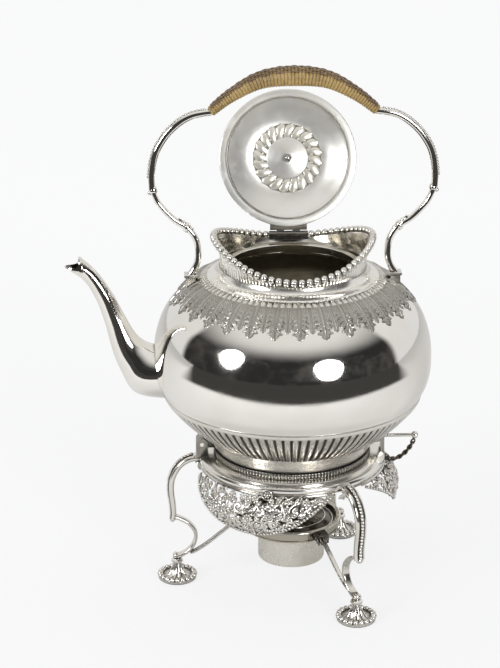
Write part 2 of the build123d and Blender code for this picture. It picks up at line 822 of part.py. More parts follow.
def foot(azimuth):
    """Dished round foot with a gadrooned rim and a fluted post."""
    a = radians(azimuth)
    centre = Vector(foot_circle * cos(a), foot_circle * sin(a), 0)
    with BuildPart() as casting:
        with BuildSketch(Plane(origin=centre, x_dir=(1, 0, 0), z_dir=(0, -1, 0))):
            r = foot_disc_radius
            with BuildLine():
                Polyline((0, 0), (r - 2.0, 0), (r, 2.0), (r, 4.4), (r - 2.0, 6.2), (foot_cone_radius, 4.4),
                         (3.0, foot_post_z - 4.2), (4.0, foot_post_z - 1.6), (0, foot_post_z), close=True)
            make_face()
        revolve(axis=Axis(centre, (0, 0, 1)))
    return casting


def strut(azimuth):
    """Flat curved strut from the foot of a leg to the burner holder, with its leaf block."""
    with BuildPart() as casting:
        with BuildSketch(radial_plane(azimuth)):
            ribbon(strut_line, strut_wall)
            with Locations((holder_radius + 3.0, holder_z + holder_height / 2)):
                Rectangle(6.0, holder_height - 2.8)
        extrude(amount=strut_width / 2, both=True)
        with BuildSketch(Plane.XY.offset(holder_z)):
            Circle(holder_radius)
        extrude(amount=holder_height, mode=Mode.SUBTRACT)
        add(leg(azimuth).part, mode=Mode.SUBTRACT)
    return casting


for azimuth, name in zip(leg_azimuths, side_names):
    standing = foot(azimuth)
    save(standing, f"foot_{name}")
    casting = leg(azimuth)
    with casting:
        add(standing.part, mode=Mode.SUBTRACT)
    save(casting, f"leg_{name}")
    save(strut(azimuth), f"strut_{name}")

with BuildPart() as burner_holder:      # shallow drum that carries the lamp on its shelf
    with BuildSketch(section):
        r, top = holder_radius, holder_z + holder_height
        with BuildLine():
            Polyline((r, holder_z), (r, top - 1.2), (r + 1.0, top), (r - holder_wall, top),
                     (r - holder_wall, holder_z + holder_shelf), (font_radius + 1.5, holder_z + holder_shelf),
                     (font_radius + 1.5, holder_z), close=True)
        make_face()
    revolve(axis=Axis.Z)
save(burner_holder, "burner_holder")

# ================================================================ burner and snuffer
flange_z = holder_z + holder_shelf + burner_gap
flange_thickness = 1.6
flange_radius = holder_radius - holder_wall - burner_gap
dome_z = flange_z + flange_thickness
tube_z = dome_z + burner_dome_height
with BuildPart() as burner_font:        # spirit reservoir hanging through the holder
    with BuildSketch(section):
        r = font_radius
        with BuildLine():
            Polyline((0, font_bottom_z), (r, font_bottom_z), (r, flange_z), (flange_radius, flange_z),
                     (flange_radius, dome_z), (r - wall, dome_z), (r - wall, font_bottom_z + wall),
                     (0, font_bottom_z + wall), close=True)
        make_face()
    revolve(axis=Axis.Z)
save(burner_font, "burner_font")

with BuildPart() as burner_cover:       # domed cover that closes the reservoir
    with BuildSketch(section):
        r = flange_radius - 1.0
        Polygon((wick_tube_radius, dome_z), (r, dome_z), (r * 0.86, dome_z + burner_dome_height * 0.46),
                (r * 0.58, dome_z + burner_dome_height * 0.80), (wick_tube_radius + 1.6, tube_z),
                (wick_tube_radius, tube_z), align=None)
    revolve(axis=Axis.Z)
save(burner_cover, "burner_cover")

with BuildPart() as wick_tube:
    with BuildSketch(Plane.XY.offset(dome_z - 12.0)):
        Circle(wick_tube_radius)
        Circle(wick_radius, mode=Mode.SUBTRACT)
    extrude(amount=12.0 + burner_dome_height + tube_height)
save(wick_tube, "wick_tube")

with BuildPart() as wick:
    with BuildSketch(Plane.XY.offset(font_bottom_z + wall + 0.3)):
        Circle(wick_radius)
    extrude(amount=tube_z + tube_height - font_bottom_z - wall - 0.3 + 1.5)
save(wick, "wick")

snuffer_z = tube_z + snuffer_gap
with BuildPart() as snuffer_cap:        # loose cap over the wick
    with BuildSketch(section):
        r, top = snuffer_radius, snuffer_z + snuffer_height
        Polygon((r - wall, snuffer_z), (r, snuffer_z), (r, top - 2.4), (r - 1.0, top - 0.8),
                (r - 3.2, top), (0, top), (0, top - wall), (r - wall, top - wall - 0.6), align=None)
    revolve(axis=Axis.Z)
save(snuffer_cap, "snuffer_cap")

with BuildPart() as snuffer_knob:
    with BuildSketch(Plane.XY.offset(snuffer_z + snuffer_height)):
        Circle(snuffer_knob_radius / 2)
    extrude(amount=snuffer_knob_radius)
    with BuildSketch(section):
        top, r = snuffer_z + snuffer_height, snuffer_knob_radius
        Polygon((0, top + 0.6 * r), (0.5 * r, top + 0.6 * r), (r, top + 1.3 * r), (r, top + 1.9 * r),
                (0.5 * r, top + 2.6 * r), (0, top + 2.6 * r), align=None)
    revolve(axis=Axis.Z)
save(snuffer_knob, "snuffer_knob")

# ================================================================ tilting pivot under the spout
def pivot_slab(y, width, bore, outline):
    """Ear or lug centred on y: a round eye with a root drawn in X and Z."""
    with BuildPart() as slab:
        with BuildSketch(Plane.XZ.offset(-y - width / 2)):
            with Locations((pivot_x, pivot_z)):
                Circle(pivot_radius)
            with BuildLine():
                Polyline(*outline, close=True)
            make_face()
            with Locations((pivot_x, pivot_z)):
                Circle(bore, mode=Mode.SUBTRACT)
        extrude(amount=width)
    return slab.part


ear_y = pivot_lug_width / 2 + pivot_gap + pivot_ear_width / 2
ear_root = [(pivot_x - pivot_radius, pivot_z), (pivot_x + pivot_radius, pivot_z),
            (pivot_x + pivot_radius, ledge_z - 1.6), (pivot_x - pivot_radius, ledge_z - 1.6)]
with BuildPart() as pivot_ears:         # two ears on the stand ring
    for y in (-ear_y, ear_y):
        add(pivot_slab(y, pivot_ear_width, pivot_pin_radius, ear_root))
    add(stand_ring.part, mode=Mode.SUBTRACT)
    add(gallery_band.part, mode=Mode.SUBTRACT)
save(pivot_ears, "pivot_ears")

pivot_pin_length = 2 * ear_y + pivot_ear_width
with BuildPart() as pivot_pin:
    with BuildSketch(Plane.XZ.offset(-pivot_pin_length / 2)):
        with Locations((pivot_x, pivot_z)):
            Circle(pivot_pin_radius)
    extrude(amount=pivot_pin_length)
save(pivot_pin, "pivot_pin")

lug_root = [(pivot_x, pivot_z - pivot_radius + 0.6), (pivot_x, pivot_z + pivot_radius),
            (-foot_radius + 2, pivot_z + pivot_radius), (-foot_radius + 2, pivot_z - pivot_radius + 0.6)]
with BuildPart() as pivot_lug:          # eye on the kettle's foot band
    add(pivot_slab(0, pivot_lug_width, pivot_pin_radius + hinge_fit, lug_root))
    add(foot_band.part, mode=Mode.SUBTRACT)
    with BuildSketch(Plane.XY.offset(foot_bottom)):
        Circle(foot_radius - wall / 2)
    extrude(amount=base_z - foot_bottom, mode=Mode.SUBTRACT)
save(pivot_lug, "pivot_lug")

# ================================================================ locking pin at the rear
with BuildPart() as rear_ear:           # upright ear on the stand ring with the pin's hole
    with BuildSketch(Plane.YZ.offset(rear_ear_x - rear_ear_thickness / 2)):
        with Locations((0, lock_z)):
            Circle(3.6)
        with BuildLine():
            Polyline((-rear_ear_width / 2, 98.0), (rear_ear_width / 2, 98.0), (3.6, lock_z), (-3.6, lock_z),
                     close=True)
        make_face()
        with Locations((0, lock_z)):
            Circle(lock_pin_radius + hinge_fit, mode=Mode.SUBTRACT)
    extrude(amount=rear_ear_thickness)
    add(stand_ring.part, mode=Mode.SUBTRACT)
save(rear_ear, "rear_ear")

with BuildPart() as rear_lug:           # open-bottomed hook on the foot band that drops over the pin
    with BuildSketch(Plane.YZ.offset(foot_radius)):
        with Locations((0, lock_z + 0.6)):
            Rectangle(rear_lug_width, 8.4)
        slot_half = lock_pin_radius + lock_fit
        with Locations((0, lock_z)):
            Circle(slot_half, mode=Mode.SUBTRACT)
        with Locations((0, lock_z - 10)):
            Rectangle(2 * slot_half, 20, mode=Mode.SUBTRACT)
    extrude(amount=rear_ear_x - rear_ear_thickness / 2 - foot_radius - 0.5)
    add(foot_band.part, mode=Mode.SUBTRACT)
save(rear_lug, "rear_lug")

with BuildPart() as locking_pin:
    with BuildSketch(Plane.YZ.offset(lock_pin_tip_x)):
        with Locations((0, lock_z)):
            Circle(lock_pin_radius)
    extrude(amount=lock_knob_x - lock_pin_tip_x)
save(locking_pin, "locking_pin")

with BuildPart() as pin_knob:
    with BuildSketch(section):
        r = lock_knob_radius
        Polygon((lock_knob_x, lock_z), (lock_knob_x, lock_z + 0.6 * r), (lock_knob_x + 0.5 * r, lock_z + r),
                (lock_knob_x + 1.2 * r, lock_z + r), (lock_knob_x + 1.8 * r, lock_z + 0.5 * r),
                (lock_knob_x + 1.8 * r, lock_z), align=None)
    revolve(axis=Axis((0, 0, lock_z), (1, 0, 0)))
save(pin_knob, "pin_knob")

chain_line = banded(
    8,
    (ring_radius + 0.8, 96.6),
    (75.6, 93.6),
    (84.0, 99.0),
    (lock_knob_x + 1.6, lock_z - lock_knob_radius - 1.4),
    tangents=[(0.6, -1), (0.3, 1)],
)
with BuildPart() as pin_chain:          # hanging chain that keeps the pin with the stand
    with BuildSketch(Plane.XZ):
        ribbon(chain_line, 2 * chain_radius)
    extrude(amount=chain_radius, both=True)
save(pin_chain, "pin_chain")
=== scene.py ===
# %% [markdown]
# # Spirit kettle on its stand
# A silver kettle hangs on a pivot over a small spirit lamp. Its parts were raised, spun, cast and
# chased by hand, so this lesson turns, sweeps and beads them one by one around the CAD frame.

import random
from math import asin, cos, hypot, pi, radians, sin, sqrt

import bmesh
import bpy
import numpy as np
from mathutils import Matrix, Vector


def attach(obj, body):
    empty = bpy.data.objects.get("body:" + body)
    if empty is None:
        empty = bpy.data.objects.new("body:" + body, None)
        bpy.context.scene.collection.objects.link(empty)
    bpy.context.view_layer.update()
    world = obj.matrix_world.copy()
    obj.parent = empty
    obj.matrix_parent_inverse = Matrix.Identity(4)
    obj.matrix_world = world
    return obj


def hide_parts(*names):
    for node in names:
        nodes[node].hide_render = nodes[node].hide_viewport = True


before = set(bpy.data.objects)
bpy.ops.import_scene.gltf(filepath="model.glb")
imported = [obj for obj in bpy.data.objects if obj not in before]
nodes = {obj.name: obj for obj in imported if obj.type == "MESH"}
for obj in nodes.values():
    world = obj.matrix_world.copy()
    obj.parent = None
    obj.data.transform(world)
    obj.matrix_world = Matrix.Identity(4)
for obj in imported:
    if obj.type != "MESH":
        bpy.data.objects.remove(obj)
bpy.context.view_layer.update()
MM = 0.001

# %% [markdown]
# ## Camera and room
# The camera stands about a metre and a half in front of the kettle, twenty degrees above it.
# Polished silver shows the room more than itself, so the room matters as much as the metal.

# %% Camera
scene = bpy.context.scene
scene.view_settings.view_transform = "Standard"
look_at = Vector((-30.6, 1.3, 192.5)) * MM
camera = bpy.data.objects.new("camera", bpy.data.cameras.new("camera"))
scene.collection.objects.link(camera)
camera.location = Vector((-95.5, -1485.8, 734.3)) * MM
camera.rotation_euler = (look_at - camera.location).to_track_quat("-Z", "Y").to_euler()
camera.data.lens = 118.56
camera.data.clip_end = 50
scene.camera = camera
print("camera", tuple(camera.location))

# %% [markdown]
# ## Writing shaders as sums
# A `Wire` wraps one socket. Adding or multiplying wires adds Math nodes, so a mask reads like
# the formula that it is. A `Bench` is one material or world, and its `node` makes any node.


# %% Wire and Bench
class Wire:
    """One output socket that can stand in a formula."""

    def __init__(self, bench, socket):
        self.bench, self.socket = bench, socket

    def maths(self, operation, *values):
        return self.bench.node("Math", {"operation": operation}, *values)

    def __add__(self, other):
        return self.maths("ADD", self, other)

    def __sub__(self, other):
        return self.maths("SUBTRACT", self, other)

    def __rsub__(self, other):
        return self.maths("SUBTRACT", other, self)

    def __mul__(self, other):
        return self.maths("MULTIPLY", self, other)

    __radd__ = __add__
    __rmul__ = __mul__

    def step(self, low, high):
        """0 below low, 1 above high, smooth between."""
        settings = {"interpolation_type": "SMOOTHSTEP"}
        return self.bench.node("MapRange", settings, self, low, high, 0.0, 1.0)

    def at_most(self, other):
        return self.maths("MINIMUM", self, other)


class Bench:
    """The node tree of one material or of the world."""

    def __init__(self, owner):
        owner.use_nodes = True
        self.owner, self.tree = owner, owner.node_tree
        self.tree.nodes.clear()

    def node(self, kind, settings=None, *values, out=0, **named):
        """One node: values fill its inputs in order, named ones by name, and out picks an output."""
        made = self.tree.nodes.new("ShaderNode" + kind)
        for key, value in (settings or {}).items():
            if key == "stops":
                ramp = made.color_ramp
                while len(ramp.elements) < len(value):
                    ramp.elements.new(0.5)
                for element, (place, colour) in zip(ramp.elements, value):
                    element.position, element.color = place, colour
            else:
                setattr(made, key, value)
        inputs = list(enumerate(values)) + [(k.replace("_", " "), v) for k, v in named.items()]
        for key, value in inputs:
            if isinstance(value, Wire):
                self.tree.links.new(value.socket, made.inputs[key])
            elif value is not None:
                made.inputs[key].default_value = value
        return Wire(self, made.outputs[out]) if made.outputs else None

    def blend(self, share, first, second):
        """Colour that goes from first to second."""
        made = self.node("Mix", {"data_type": "RGBA"}, out=2)
        sockets = made.socket.node.inputs
        for key, value in ((0, share), (6, first), (7, second)):
            if isinstance(value, Wire):
                self.tree.links.new(value.socket, sockets[key])
            else:
                sockets[key].default_value = value
        return made

    def parts(self, vector):
        """X, Y and Z of a vector as three wires."""
        split = self.node("SeparateXYZ", None, vector)
        return [Wire(self, s) for s in split.socket.node.outputs]


def rgb(r, g, b):
    return (r, g, b, 1.0)


# %% [markdown]
# ## The room
# A white sweep surrounds the kettle, and the dark studio lies in front of it. The room is drawn
# by direction alone, and the camera itself sees only the pale sweep.

# %% World
world = Bench(bpy.data.worlds.new("room"))
scene.world = world.owner
PALE = rgb(0.90, 0.905, 0.91)
direction = world.node("TexCoord", None, out=0)
dir_x, dir_y, dir_z = world.parts(direction)
in_front = (dir_y * -1.0 - dir_x * 0.13).step(-0.19, -0.07)
above_table = dir_z.step(-0.36, -0.28)
below_ceiling = 1.0 - dir_z.step(0.42, 0.90)
dark_room = in_front * above_table * below_ceiling
clutter = world.node("TexNoise", None, direction, Scale=3.0, Detail=3.0, Roughness=0.6)
room_tone = world.blend(clutter.step(0.45, 0.75), rgb(0.026, 0.026, 0.025), rgb(0.085, 0.080, 0.074))
sweep_tone = world.blend(dir_z.step(-0.2, 0.9), rgb(0.74, 0.74, 0.74), rgb(0.80, 0.79, 0.765))
seen = world.blend(dark_room, sweep_tone, room_tone)
light_path = world.node("LightPath")
camera_ray = Wire(world, light_path.socket.node.outputs["Is Camera Ray"])
seen = world.blend(camera_ray, seen, PALE)
sky = world.node("Background", None, seen, 1.0)
world.node("OutputWorld", None, sky)
print("room of", len(world.tree.nodes), "nodes")


# %% [markdown]
# Two softboxes stand in the dark studio. They give the two bright windows on the belly.

# %% Softboxes
kettle_middle = Vector((0, 0, 0.18))


def softbox(name, azimuth, elevation, distance, width, height, power):
    """Oval lamp aimed at the kettle; azimuth 0 is straight in front, positive to the right."""
    a, e = radians(azimuth), radians(elevation)
    lamp = bpy.data.objects.new(name, bpy.data.lights.new(name, "AREA"))
    scene.collection.objects.link(lamp)
    away = Vector((sin(a) * cos(e), -cos(a) * cos(e), sin(e)))
    lamp.location = away * distance + kettle_middle
    lamp.rotation_euler = away.to_track_quat("Z", "Y").to_euler()
    lamp.data.shape, lamp.data.size, lamp.data.size_y = "ELLIPSE", width, height
    lamp.data.energy = power
    return lamp


softbox("softbox_left", -56, 21, 1.9, 0.66, 0.82, 15)
softbox("softbox_right", 26, 15, 1.9, 0.78, 0.76, 15)

# %% [markdown]
# The floor is one pale sheet. Beyond the table's front edge, shiny metal sees the dark studio,
# and close to the stand it sees a little shade. Both are for reflections only.

# %% Floor
floor = bpy.data.meshes.new("floor")
half_floor = 9
corners = [(x * half_floor, y * half_floor, 0) for x, y in ((-1, -1), (1, -1), (1, 1), (-1, 1))]
floor.from_pydata(corners, [], [(0, 1, 2, 3)])
floor = bpy.data.objects.new("floor", floor)
scene.collection.objects.link(floor)
paper = Bench(bpy.data.materials.new("paper_floor"))
place = paper.node("NewGeometry", None, out=0)
floor_x, floor_y, _ = paper.parts(place)
squared = floor_x * floor_x * 0.72 + floor_y * floor_y
far = squared.maths("SQRT", squared)
light_path = paper.node("LightPath")
camera_ray = Wire(paper, light_path.socket.node.outputs["Is Camera Ray"])
glossy_ray = Wire(paper, light_path.socket.node.outputs["Is Glossy Ray"])
matt = paper.node("BsdfDiffuse", None, rgb(0.86, 0.86, 0.865))
glow = paper.node("Emission", None, rgb(0.985, 0.988, 0.992), 1.0)
beyond = far.step(0.53, 0.61) * (floor_y * -1.0).step(-0.16, 0.06)
under = (1.0 - far.step(0.06, 0.17)) * 0.35
beyond = (beyond + under).at_most(1.0) * glossy_ray
studio = paper.node("Emission", None, rgb(0.05, 0.048, 0.045), 1.0)
pale = floor_y.step(-0.3, 1.0) * 0.14 + 0.78
shown = paper.node("MixShader", None, camera_ray * pale, matt, glow)
shown = paper.node("MixShader", None, beyond, shown, studio)
paper.node("OutputMaterial", None, shown)
floor.data.materials.append(paper.owner)

# %% [markdown]
# ## Silver
# Polished silver is nearly white and a little warm. Hands and time leave a soft grey bloom.
# Recesses are darker: partly the tarnish that the polish never reaches, partly painted shade.


# %% Silver finishes
def silver(name, shine, recess, reach, bloom=0.25, base=(0.93, 0.912, 0.875), ripple=0.02, metal=1.0):
    """Silver with a given roughness; painted shade darkens recesses within reach millimetres by recess."""
    bench = Bench(bpy.data.materials.new(name))
    spot = bench.node("TexCoord", None, out=3)
    cloud = bench.node("TexNoise", None, spot, Scale=26.0, Detail=4.0, Roughness=0.62)
    fine = bench.node("TexNoise", None, spot, Scale=900.0, Detail=2.0, Roughness=0.5)
    swirl = bench.node("TexNoise", None, spot, Scale=140.0, Detail=3.0, Roughness=0.7)
    # Painted shade: ambient occlusion and the marks drawn on a piece darken recesses and grooves, over the
    # tarnish that lies in them.
    hollow = bench.node("AmbientOcclusion", {"samples": 6, "only_local": False}, out=1, Distance=reach * MM)
    marked_shade = bench.node("Attribute", {"attribute_name": "recess"}, out=2)
    recess_shade_and_tarnish = (1.0 - hollow).step(0.12, 0.62) * recess + marked_shade
    bloom_tarnish_and_shade = (cloud.step(0.42, 0.78) * bloom + recess_shade_and_tarnish).at_most(1.0)
    worn = rgb(base[0] * 0.82, base[1] * 0.79, base[2] * 0.72)
    bright = bench.blend(cloud.step(0.35, 0.7) * bloom, rgb(*base), worn)
    colour = bench.blend(recess_shade_and_tarnish.at_most(1.0), bright, rgb(0.075, 0.066, 0.052))
    rough = shine + swirl.step(0.45, 0.8) * shine * 0.5 + bloom_tarnish_and_shade * 0.22
    relief = swirl * 0.6 + fine * 0.4
    bump = bench.node("Bump", None, Strength=ripple, Distance=0.0006, Height=relief)
    skin_node = bench.node("BsdfPrincipled", None, Base_Color=colour, Roughness=rough, Metallic=metal,
                           Normal=bump)
    bench.node("OutputMaterial", None, skin_node)
    return bench.owner


polished = silver("polished_silver", 0.055, 0.75, 2.2)
turned = silver("turned_silver", 0.10, 0.8, 2.0, bloom=0.3)
satin = silver("satin_silver", 0.19, 0.8, 2.0, bloom=0.3, base=(0.95, 0.93, 0.89), metal=0.9)
bead = silver("bead_silver", 0.20, 1.0, 2.6, bloom=0.3, base=(0.90, 0.88, 0.84), ripple=0.02)
chased = silver("chased_silver", 0.17, 1.0, 2.2, bloom=0.4, base=(0.80, 0.78, 0.74), ripple=0.08)
pearl = silver("pearl_silver", 0.13, 1.0, 2.4, bloom=0.3, base=(0.86, 0.84, 0.80), ripple=0.04)
cast = silver("cast_silver", 0.13, 1.0, 2.6, bloom=0.4, base=(0.86, 0.84, 0.80), ripple=0.04)
leaf_chasing = silver("leaf_chasing", 0.27, 1.0, 1.1, bloom=0.5, base=(0.62, 0.605, 0.57), ripple=0.08)
pierced = silver("pierced_silver", 0.12, 1.0, 3.4, bloom=0.3, base=(0.84, 0.82, 0.78), ripple=0.04)
tinned = silver("dull_inside", 0.32, 0.6, 6.0, bloom=0.7, base=(0.42, 0.385, 0.30), ripple=0.12)
inside_neck = silver("neck_inside", 0.15, 0.7, 5.0, bloom=0.5, base=(0.70, 0.665, 0.58), ripple=0.04)
# Dark silver for places in shade: painted shade under the pearls, in the spout's throat, on the burner,
# strut leaves and chain.
shade_dark_silver = silver("painted_shade_silver", 0.12, 1.0, 4.0, bloom=0.6, base=(0.17, 0.155, 0.135), ripple=0.05)
ring_satin = silver("ring_satin", 0.17, 0.8, 2.0, bloom=0.3, base=(0.86, 0.84, 0.80), ripple=0.02)
aged = silver("aged_silver", 0.17, 1.0, 3.0, bloom=0.6, base=(0.36, 0.345, 0.32), ripple=0.06)
# The drum's silver is warm and darkened further with painted shade from the kettle above it.
drum_side = silver("warm_painted_shade_silver", 0.12, 0.8, 3.0, bloom=0.4, base=(0.52, 0.48, 0.41), ripple=0.03)
reservoir = silver("cream_silver", 0.26, 0.7, 3.0, bloom=0.5, base=(0.90, 0.87, 0.80), ripple=0.0,
                   metal=0.6)
spun = silver("spun_silver", 0.34, 0.6, 2.0, bloom=0.35, base=(0.90, 0.895, 0.87), ripple=0.04, metal=0.70)
cream = silver("embossed_silver", 0.30, 0.9, 1.1, bloom=0.3, base=(0.95, 0.925, 0.85), ripple=0.12,
               metal=0.65)
print("silver finishes ready")

# %% [markdown]
# ## Cane and cotton
# The grip is wound with split cane. Painted shade darkens the strands where they meet, so their crowns look
# paler.


# %% Cane and wick
def cane(name, light, dark, grain):
    bench = Bench(bpy.data.materials.new(name))
    spot = bench.node("TexCoord", None, out=3)
    fibre = bench.node("TexNoise", None, spot, Scale=grain, Detail=4.0, Roughness=0.65)
    patch = bench.node("TexNoise", None, spot, Scale=55.0, Detail=3.0, Roughness=0.6)
    # Painted shade: ambient occlusion and the drawn marks darken the fibres where strands meet.
    hollow = bench.node("AmbientOcclusion", {"samples": 6}, out=1, Distance=1.6 * MM)
    marked_shade = bench.node("Attribute", {"attribute_name": "recess"}, out=2)
    groove = (1.0 - hollow).step(0.12, 0.6) * 0.75 + marked_shade
    mix = (fibre.step(0.3, 0.75) * 0.3 + patch.step(0.35, 0.7) * 0.35 + groove).at_most(1.0)
    colour = bench.blend(mix, light, dark)
    bump = bench.node("Bump", None, Strength=0.35, Distance=0.0004, Height=fibre)
    skin_node = bench.node("BsdfPrincipled", None, Base_Color=colour, Roughness=0.36 + fibre * 0.2,
                           Normal=bump)
    skin_node.socket.node.inputs["Coat Weight"].default_value = 0.25
    skin_node.socket.node.inputs["Coat Roughness"].default_value = 0.25
    bench.node("OutputMaterial", None, skin_node)
    return bench.owner


cane_gold = cane("golden_cane", rgb(0.47, 0.325, 0.115), rgb(0.10, 0.052, 0.016), 420.0)
cane_brown = cane("brown_cane", rgb(0.23, 0.155, 0.090), rgb(0.045, 0.026, 0.015), 520.0)
cotton = cane("cotton_wick", rgb(0.70, 0.67, 0.60), rgb(0.22, 0.20, 0.17), 1500.0)

# %% [markdown]
# ## Hand tools
# Nearly everything here is turned on a lathe, drawn along a path or set as a row of beads. The
# helpers take millimetres. A `Stock` gathers the forms of one piece, and `piece` welds them into
# one clean mesh, so every piece is closed where the real one is.


# %% Mesh helpers
def piece(name, verts, faces, body, finish, replaces=(), corner=38, marks=()):
    """Mesh piece in millimetres that rides on a body; marks hold how much painted shade a point gets."""
    mesh = bpy.data.meshes.new(name)
    mesh.from_pydata([tuple(v) for v in np.asarray(verts) * MM], [], faces)
    tidy = bmesh.new()
    tidy.from_mesh(mesh)
    if any(marks):
        layer = tidy.verts.layers.float.new("recess")
        for vert, mark in zip(tidy.verts, marks):
            vert[layer] = mark
    bmesh.ops.remove_doubles(tidy, verts=tidy.verts, dist=1e-6)
    bmesh.ops.dissolve_degenerate(tidy, edges=tidy.edges, dist=1e-7)
    bmesh.ops.recalc_face_normals(tidy, faces=tidy.faces)
    tidy.to_mesh(mesh)
    tidy.free()
    mesh.polygons.foreach_set("use_smooth", [True] * len(mesh.polygons))
    mesh.set_sharp_from_angle(angle=radians(corner))
    made = bpy.data.objects.new(name, mesh)
    scene.collection.objects.link(made)
    mesh.materials.append(finish)
    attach(made, body)
    if replaces:
        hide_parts(*replaces)
    print(f"{name}: {len(mesh.vertices)} points")
    return made


def loops(rows, ring=True, around=False, caps=True, start=0):
    """Faces over rows of points: ring closes each row, around joins the last row to the first."""
    count, width = len(rows), len(rows[0])
    faces = []
    for i in range(count if around else count - 1):
        for j in range(width if ring else width - 1):
            a, b = i * width, (i + 1) % count * width
            k = (j + 1) % width
            faces.append((start + a + j, start + a + k, start + b + k, start + b + j))
    if caps and ring and not around:
        faces.append(tuple(start + j for j in range(width))[::-1])
        faces.append(tuple(start + (count - 1) * width + j for j in range(width)))
    return faces


class Stock:
    """Collects several forms that become one piece."""

    def __init__(self):
        self.verts, self.faces, self.marks = [], [], []

    def add(self, rows, mark=None, **how):
        """mark(i, j) tells how much painted shade point j of row i gets, mostly how deep in a groove it
        lies, from 0 to 1.
        """
        self.faces += loops(rows, start=len(self.verts), **how)
        self.verts += [tuple(p) for row in rows for p in row]
        self.marks += [mark(i, j) if mark else 0.0 for i, row in enumerate(rows) for j in range(len(row))]
        return self

    def bead(self, centre, radius, squash=(1, 1, 1), count=8):
        """One small ball."""
        return self.add(ball(centre, radius, squash, count), caps=False)

    def move(self, change):
        self.verts = [change(v) for v in self.verts]
        return self

    def make(self, name, body, finish, replaces=(), corner=38, slot="chased_silver"):
        return piece(name, self.verts, self.faces, body, finish, replaces, corner, self.marks)


def flow(points, steps=8):
    """Smooth curve through a few points."""
    p = np.array(points, float)
    p = np.vstack([2 * p[0] - p[1], p, 2 * p[-1] - p[-2]])
    out = []
    for i in range(1, len(p) - 2):
        for k in range(steps):
            t = k / steps
            a, b, c, d = p[i - 1], p[i], p[i + 1], p[i + 2]
            out.append(0.5 * (2 * b + (c - a) * t + (2 * a - 5 * b + 4 * c - d) * t**2
                              + (3 * b - a - 3 * c + d) * t**3))
    out.append(p[-2])
    return np.array(out)


def curve(points, steps=8):
    """The same curve as a plain list, so that sharp corners can be added to it."""
    return [tuple(p) for p in flow(points, steps)]


def run_length(path):
    """Distance from the start of a path to each of its points."""
    return np.concatenate([[0], np.cumsum(np.linalg.norm(np.diff(path, axis=0), axis=1))])


def course(path):
    """Unit vector along a path at each of its points."""
    way = np.gradient(path, axis=0)
    return way / np.linalg.norm(way, axis=1)[:, None]


def turn(profile, count=128, wave=None):
    """Rows of a closed (r, z) profile turned round Z; wave(angle, i) adds to a point's radius."""
    rows = []
    for k in range(count):
        a = 2 * pi * k / count
        row = []
        for i, (r, z) in enumerate(profile):
            row.append(polar_rad(a, r + (wave(a, i) if wave else 0.0), z))
        rows.append(row)
    return rows


def lathe(name, profile, body, finish, replaces=(), count=128, wave=None, change=None, shade=None,
          slot="polished_silver"):
    """Turned piece; shade(angle, i) marks the grooves."""
    mark = (lambda k, i: shade(2 * pi * k / count, i)) if shade else None
    stock = Stock().add(turn(profile, count, wave), mark, around=True)
    if change:
        stock.move(change)
    return stock.make(name, body, finish, replaces, slot=slot)


def draw(path, section, side=(0, 1, 0)):
    """Rows of a section drawn along a path. side is the binormal: one for all points or one for each."""
    path = np.array(path, float)
    way = course(path)
    side = np.broadcast_to(np.array(side, float), path.shape)
    up = np.cross(side, way)
    up /= np.linalg.norm(up, axis=1)[:, None]
    across = np.cross(way, up)
    rows = []
    for i, point in enumerate(path):
        shape = section(i / (len(path) - 1)) if callable(section) else section
        rows.append([tuple(point + across[i] * s + up[i] * h) for s, h in shape])
    return rows


def full_turn(count):
    return np.linspace(0, 2 * pi, count, endpoint=False)


def oval(width, height, count=20):
    """Section: an ellipse of full width and height."""
    return [(width / 2 * cos(2 * pi * k / count), height / 2 * sin(2 * pi * k / count))
            for k in range(count)]


def strap(width, height, round_off=0.35, count=6):
    """Section: a strip with rounded edges."""
    out = []
    for cx, cy, start in ((1, 1, 0), (-1, 1, 90), (-1, -1, 180), (1, -1, 270)):
        r = min(width, height) * round_off
        for k in range(count):
            a = radians(start + 90 * k / (count - 1))
            out.append((cx * (width / 2 - r) + r * cos(a), cy * (height / 2 - r) + r * sin(a)))
    return out


def ball(centre, radius, squash=(1, 1, 1), count=10):
    """Rows of a small bead."""
    rows = []
    for i in range(count // 2 + 1):
        e = -pi / 2 + pi * i / (count // 2)
        rows.append([(centre[0] + radius * squash[0] * cos(e) * cos(2 * pi * k / count),
                      centre[1] + radius * squash[1] * cos(e) * sin(2 * pi * k / count),
                      centre[2] + radius * squash[2] * sin(e)) for k in range(count)])
    return rows


def polar_rad(angle, r, z):
    """Point at an angle round Z."""
    return (r * cos(angle), r * sin(angle), z)


def polar(azimuth, r, z):
    """The same with the angle in degrees."""
    return polar_rad(radians(azimuth), r, z)


# %% [markdown]
# ## Belly
# The belly was raised from one sheet: a smooth onion shape, open at the neck. It is turned from a
# curve through eight points, with the sheet's thickness, and its inside is a dull second skin.

# %% Belly
wall, skin_gap, seam_r, seam_z = 1.5, 0.15, 93.5, 151.5
neck_r, shoulder_z, lip_r, flat_from = 57.5, 238.0, 51.0, 230
belly_line = flow([(neck_r, shoulder_z), (66.5, 235.0), (75.5, 229.5), (91.0, 212.5), (98.3, 194.0),
                   (100.0, 175.0), (98.2, 162.0), (seam_r, seam_z)], 12)
outside = [tuple(p) for p in belly_line]
inside = [(r - wall, z - (wall if z > flat_from else 0)) for r, z in outside[::-1]]
lathe("belly", outside + inside + [(lip_r, shoulder_z - wall), (lip_r, shoulder_z)], "kettle", polished,
      ["kettle_shell"], count=192)
skin_in = [(r - wall - skin_gap, z - (wall + skin_gap if z > flat_from else 0)) for r, z in outside]
lathe("belly_lining", skin_in + [(r - skin_gap, z) for r, z in skin_in[::-1]], "kettle", tinned, count=96)

# %% [markdown]
# Under the seam sits a plain band, then a cone of nearly a hundred flutes. Each flute is a groove
# that starts and ends softly, so the radius is lowered by a rounded wave between two fades.

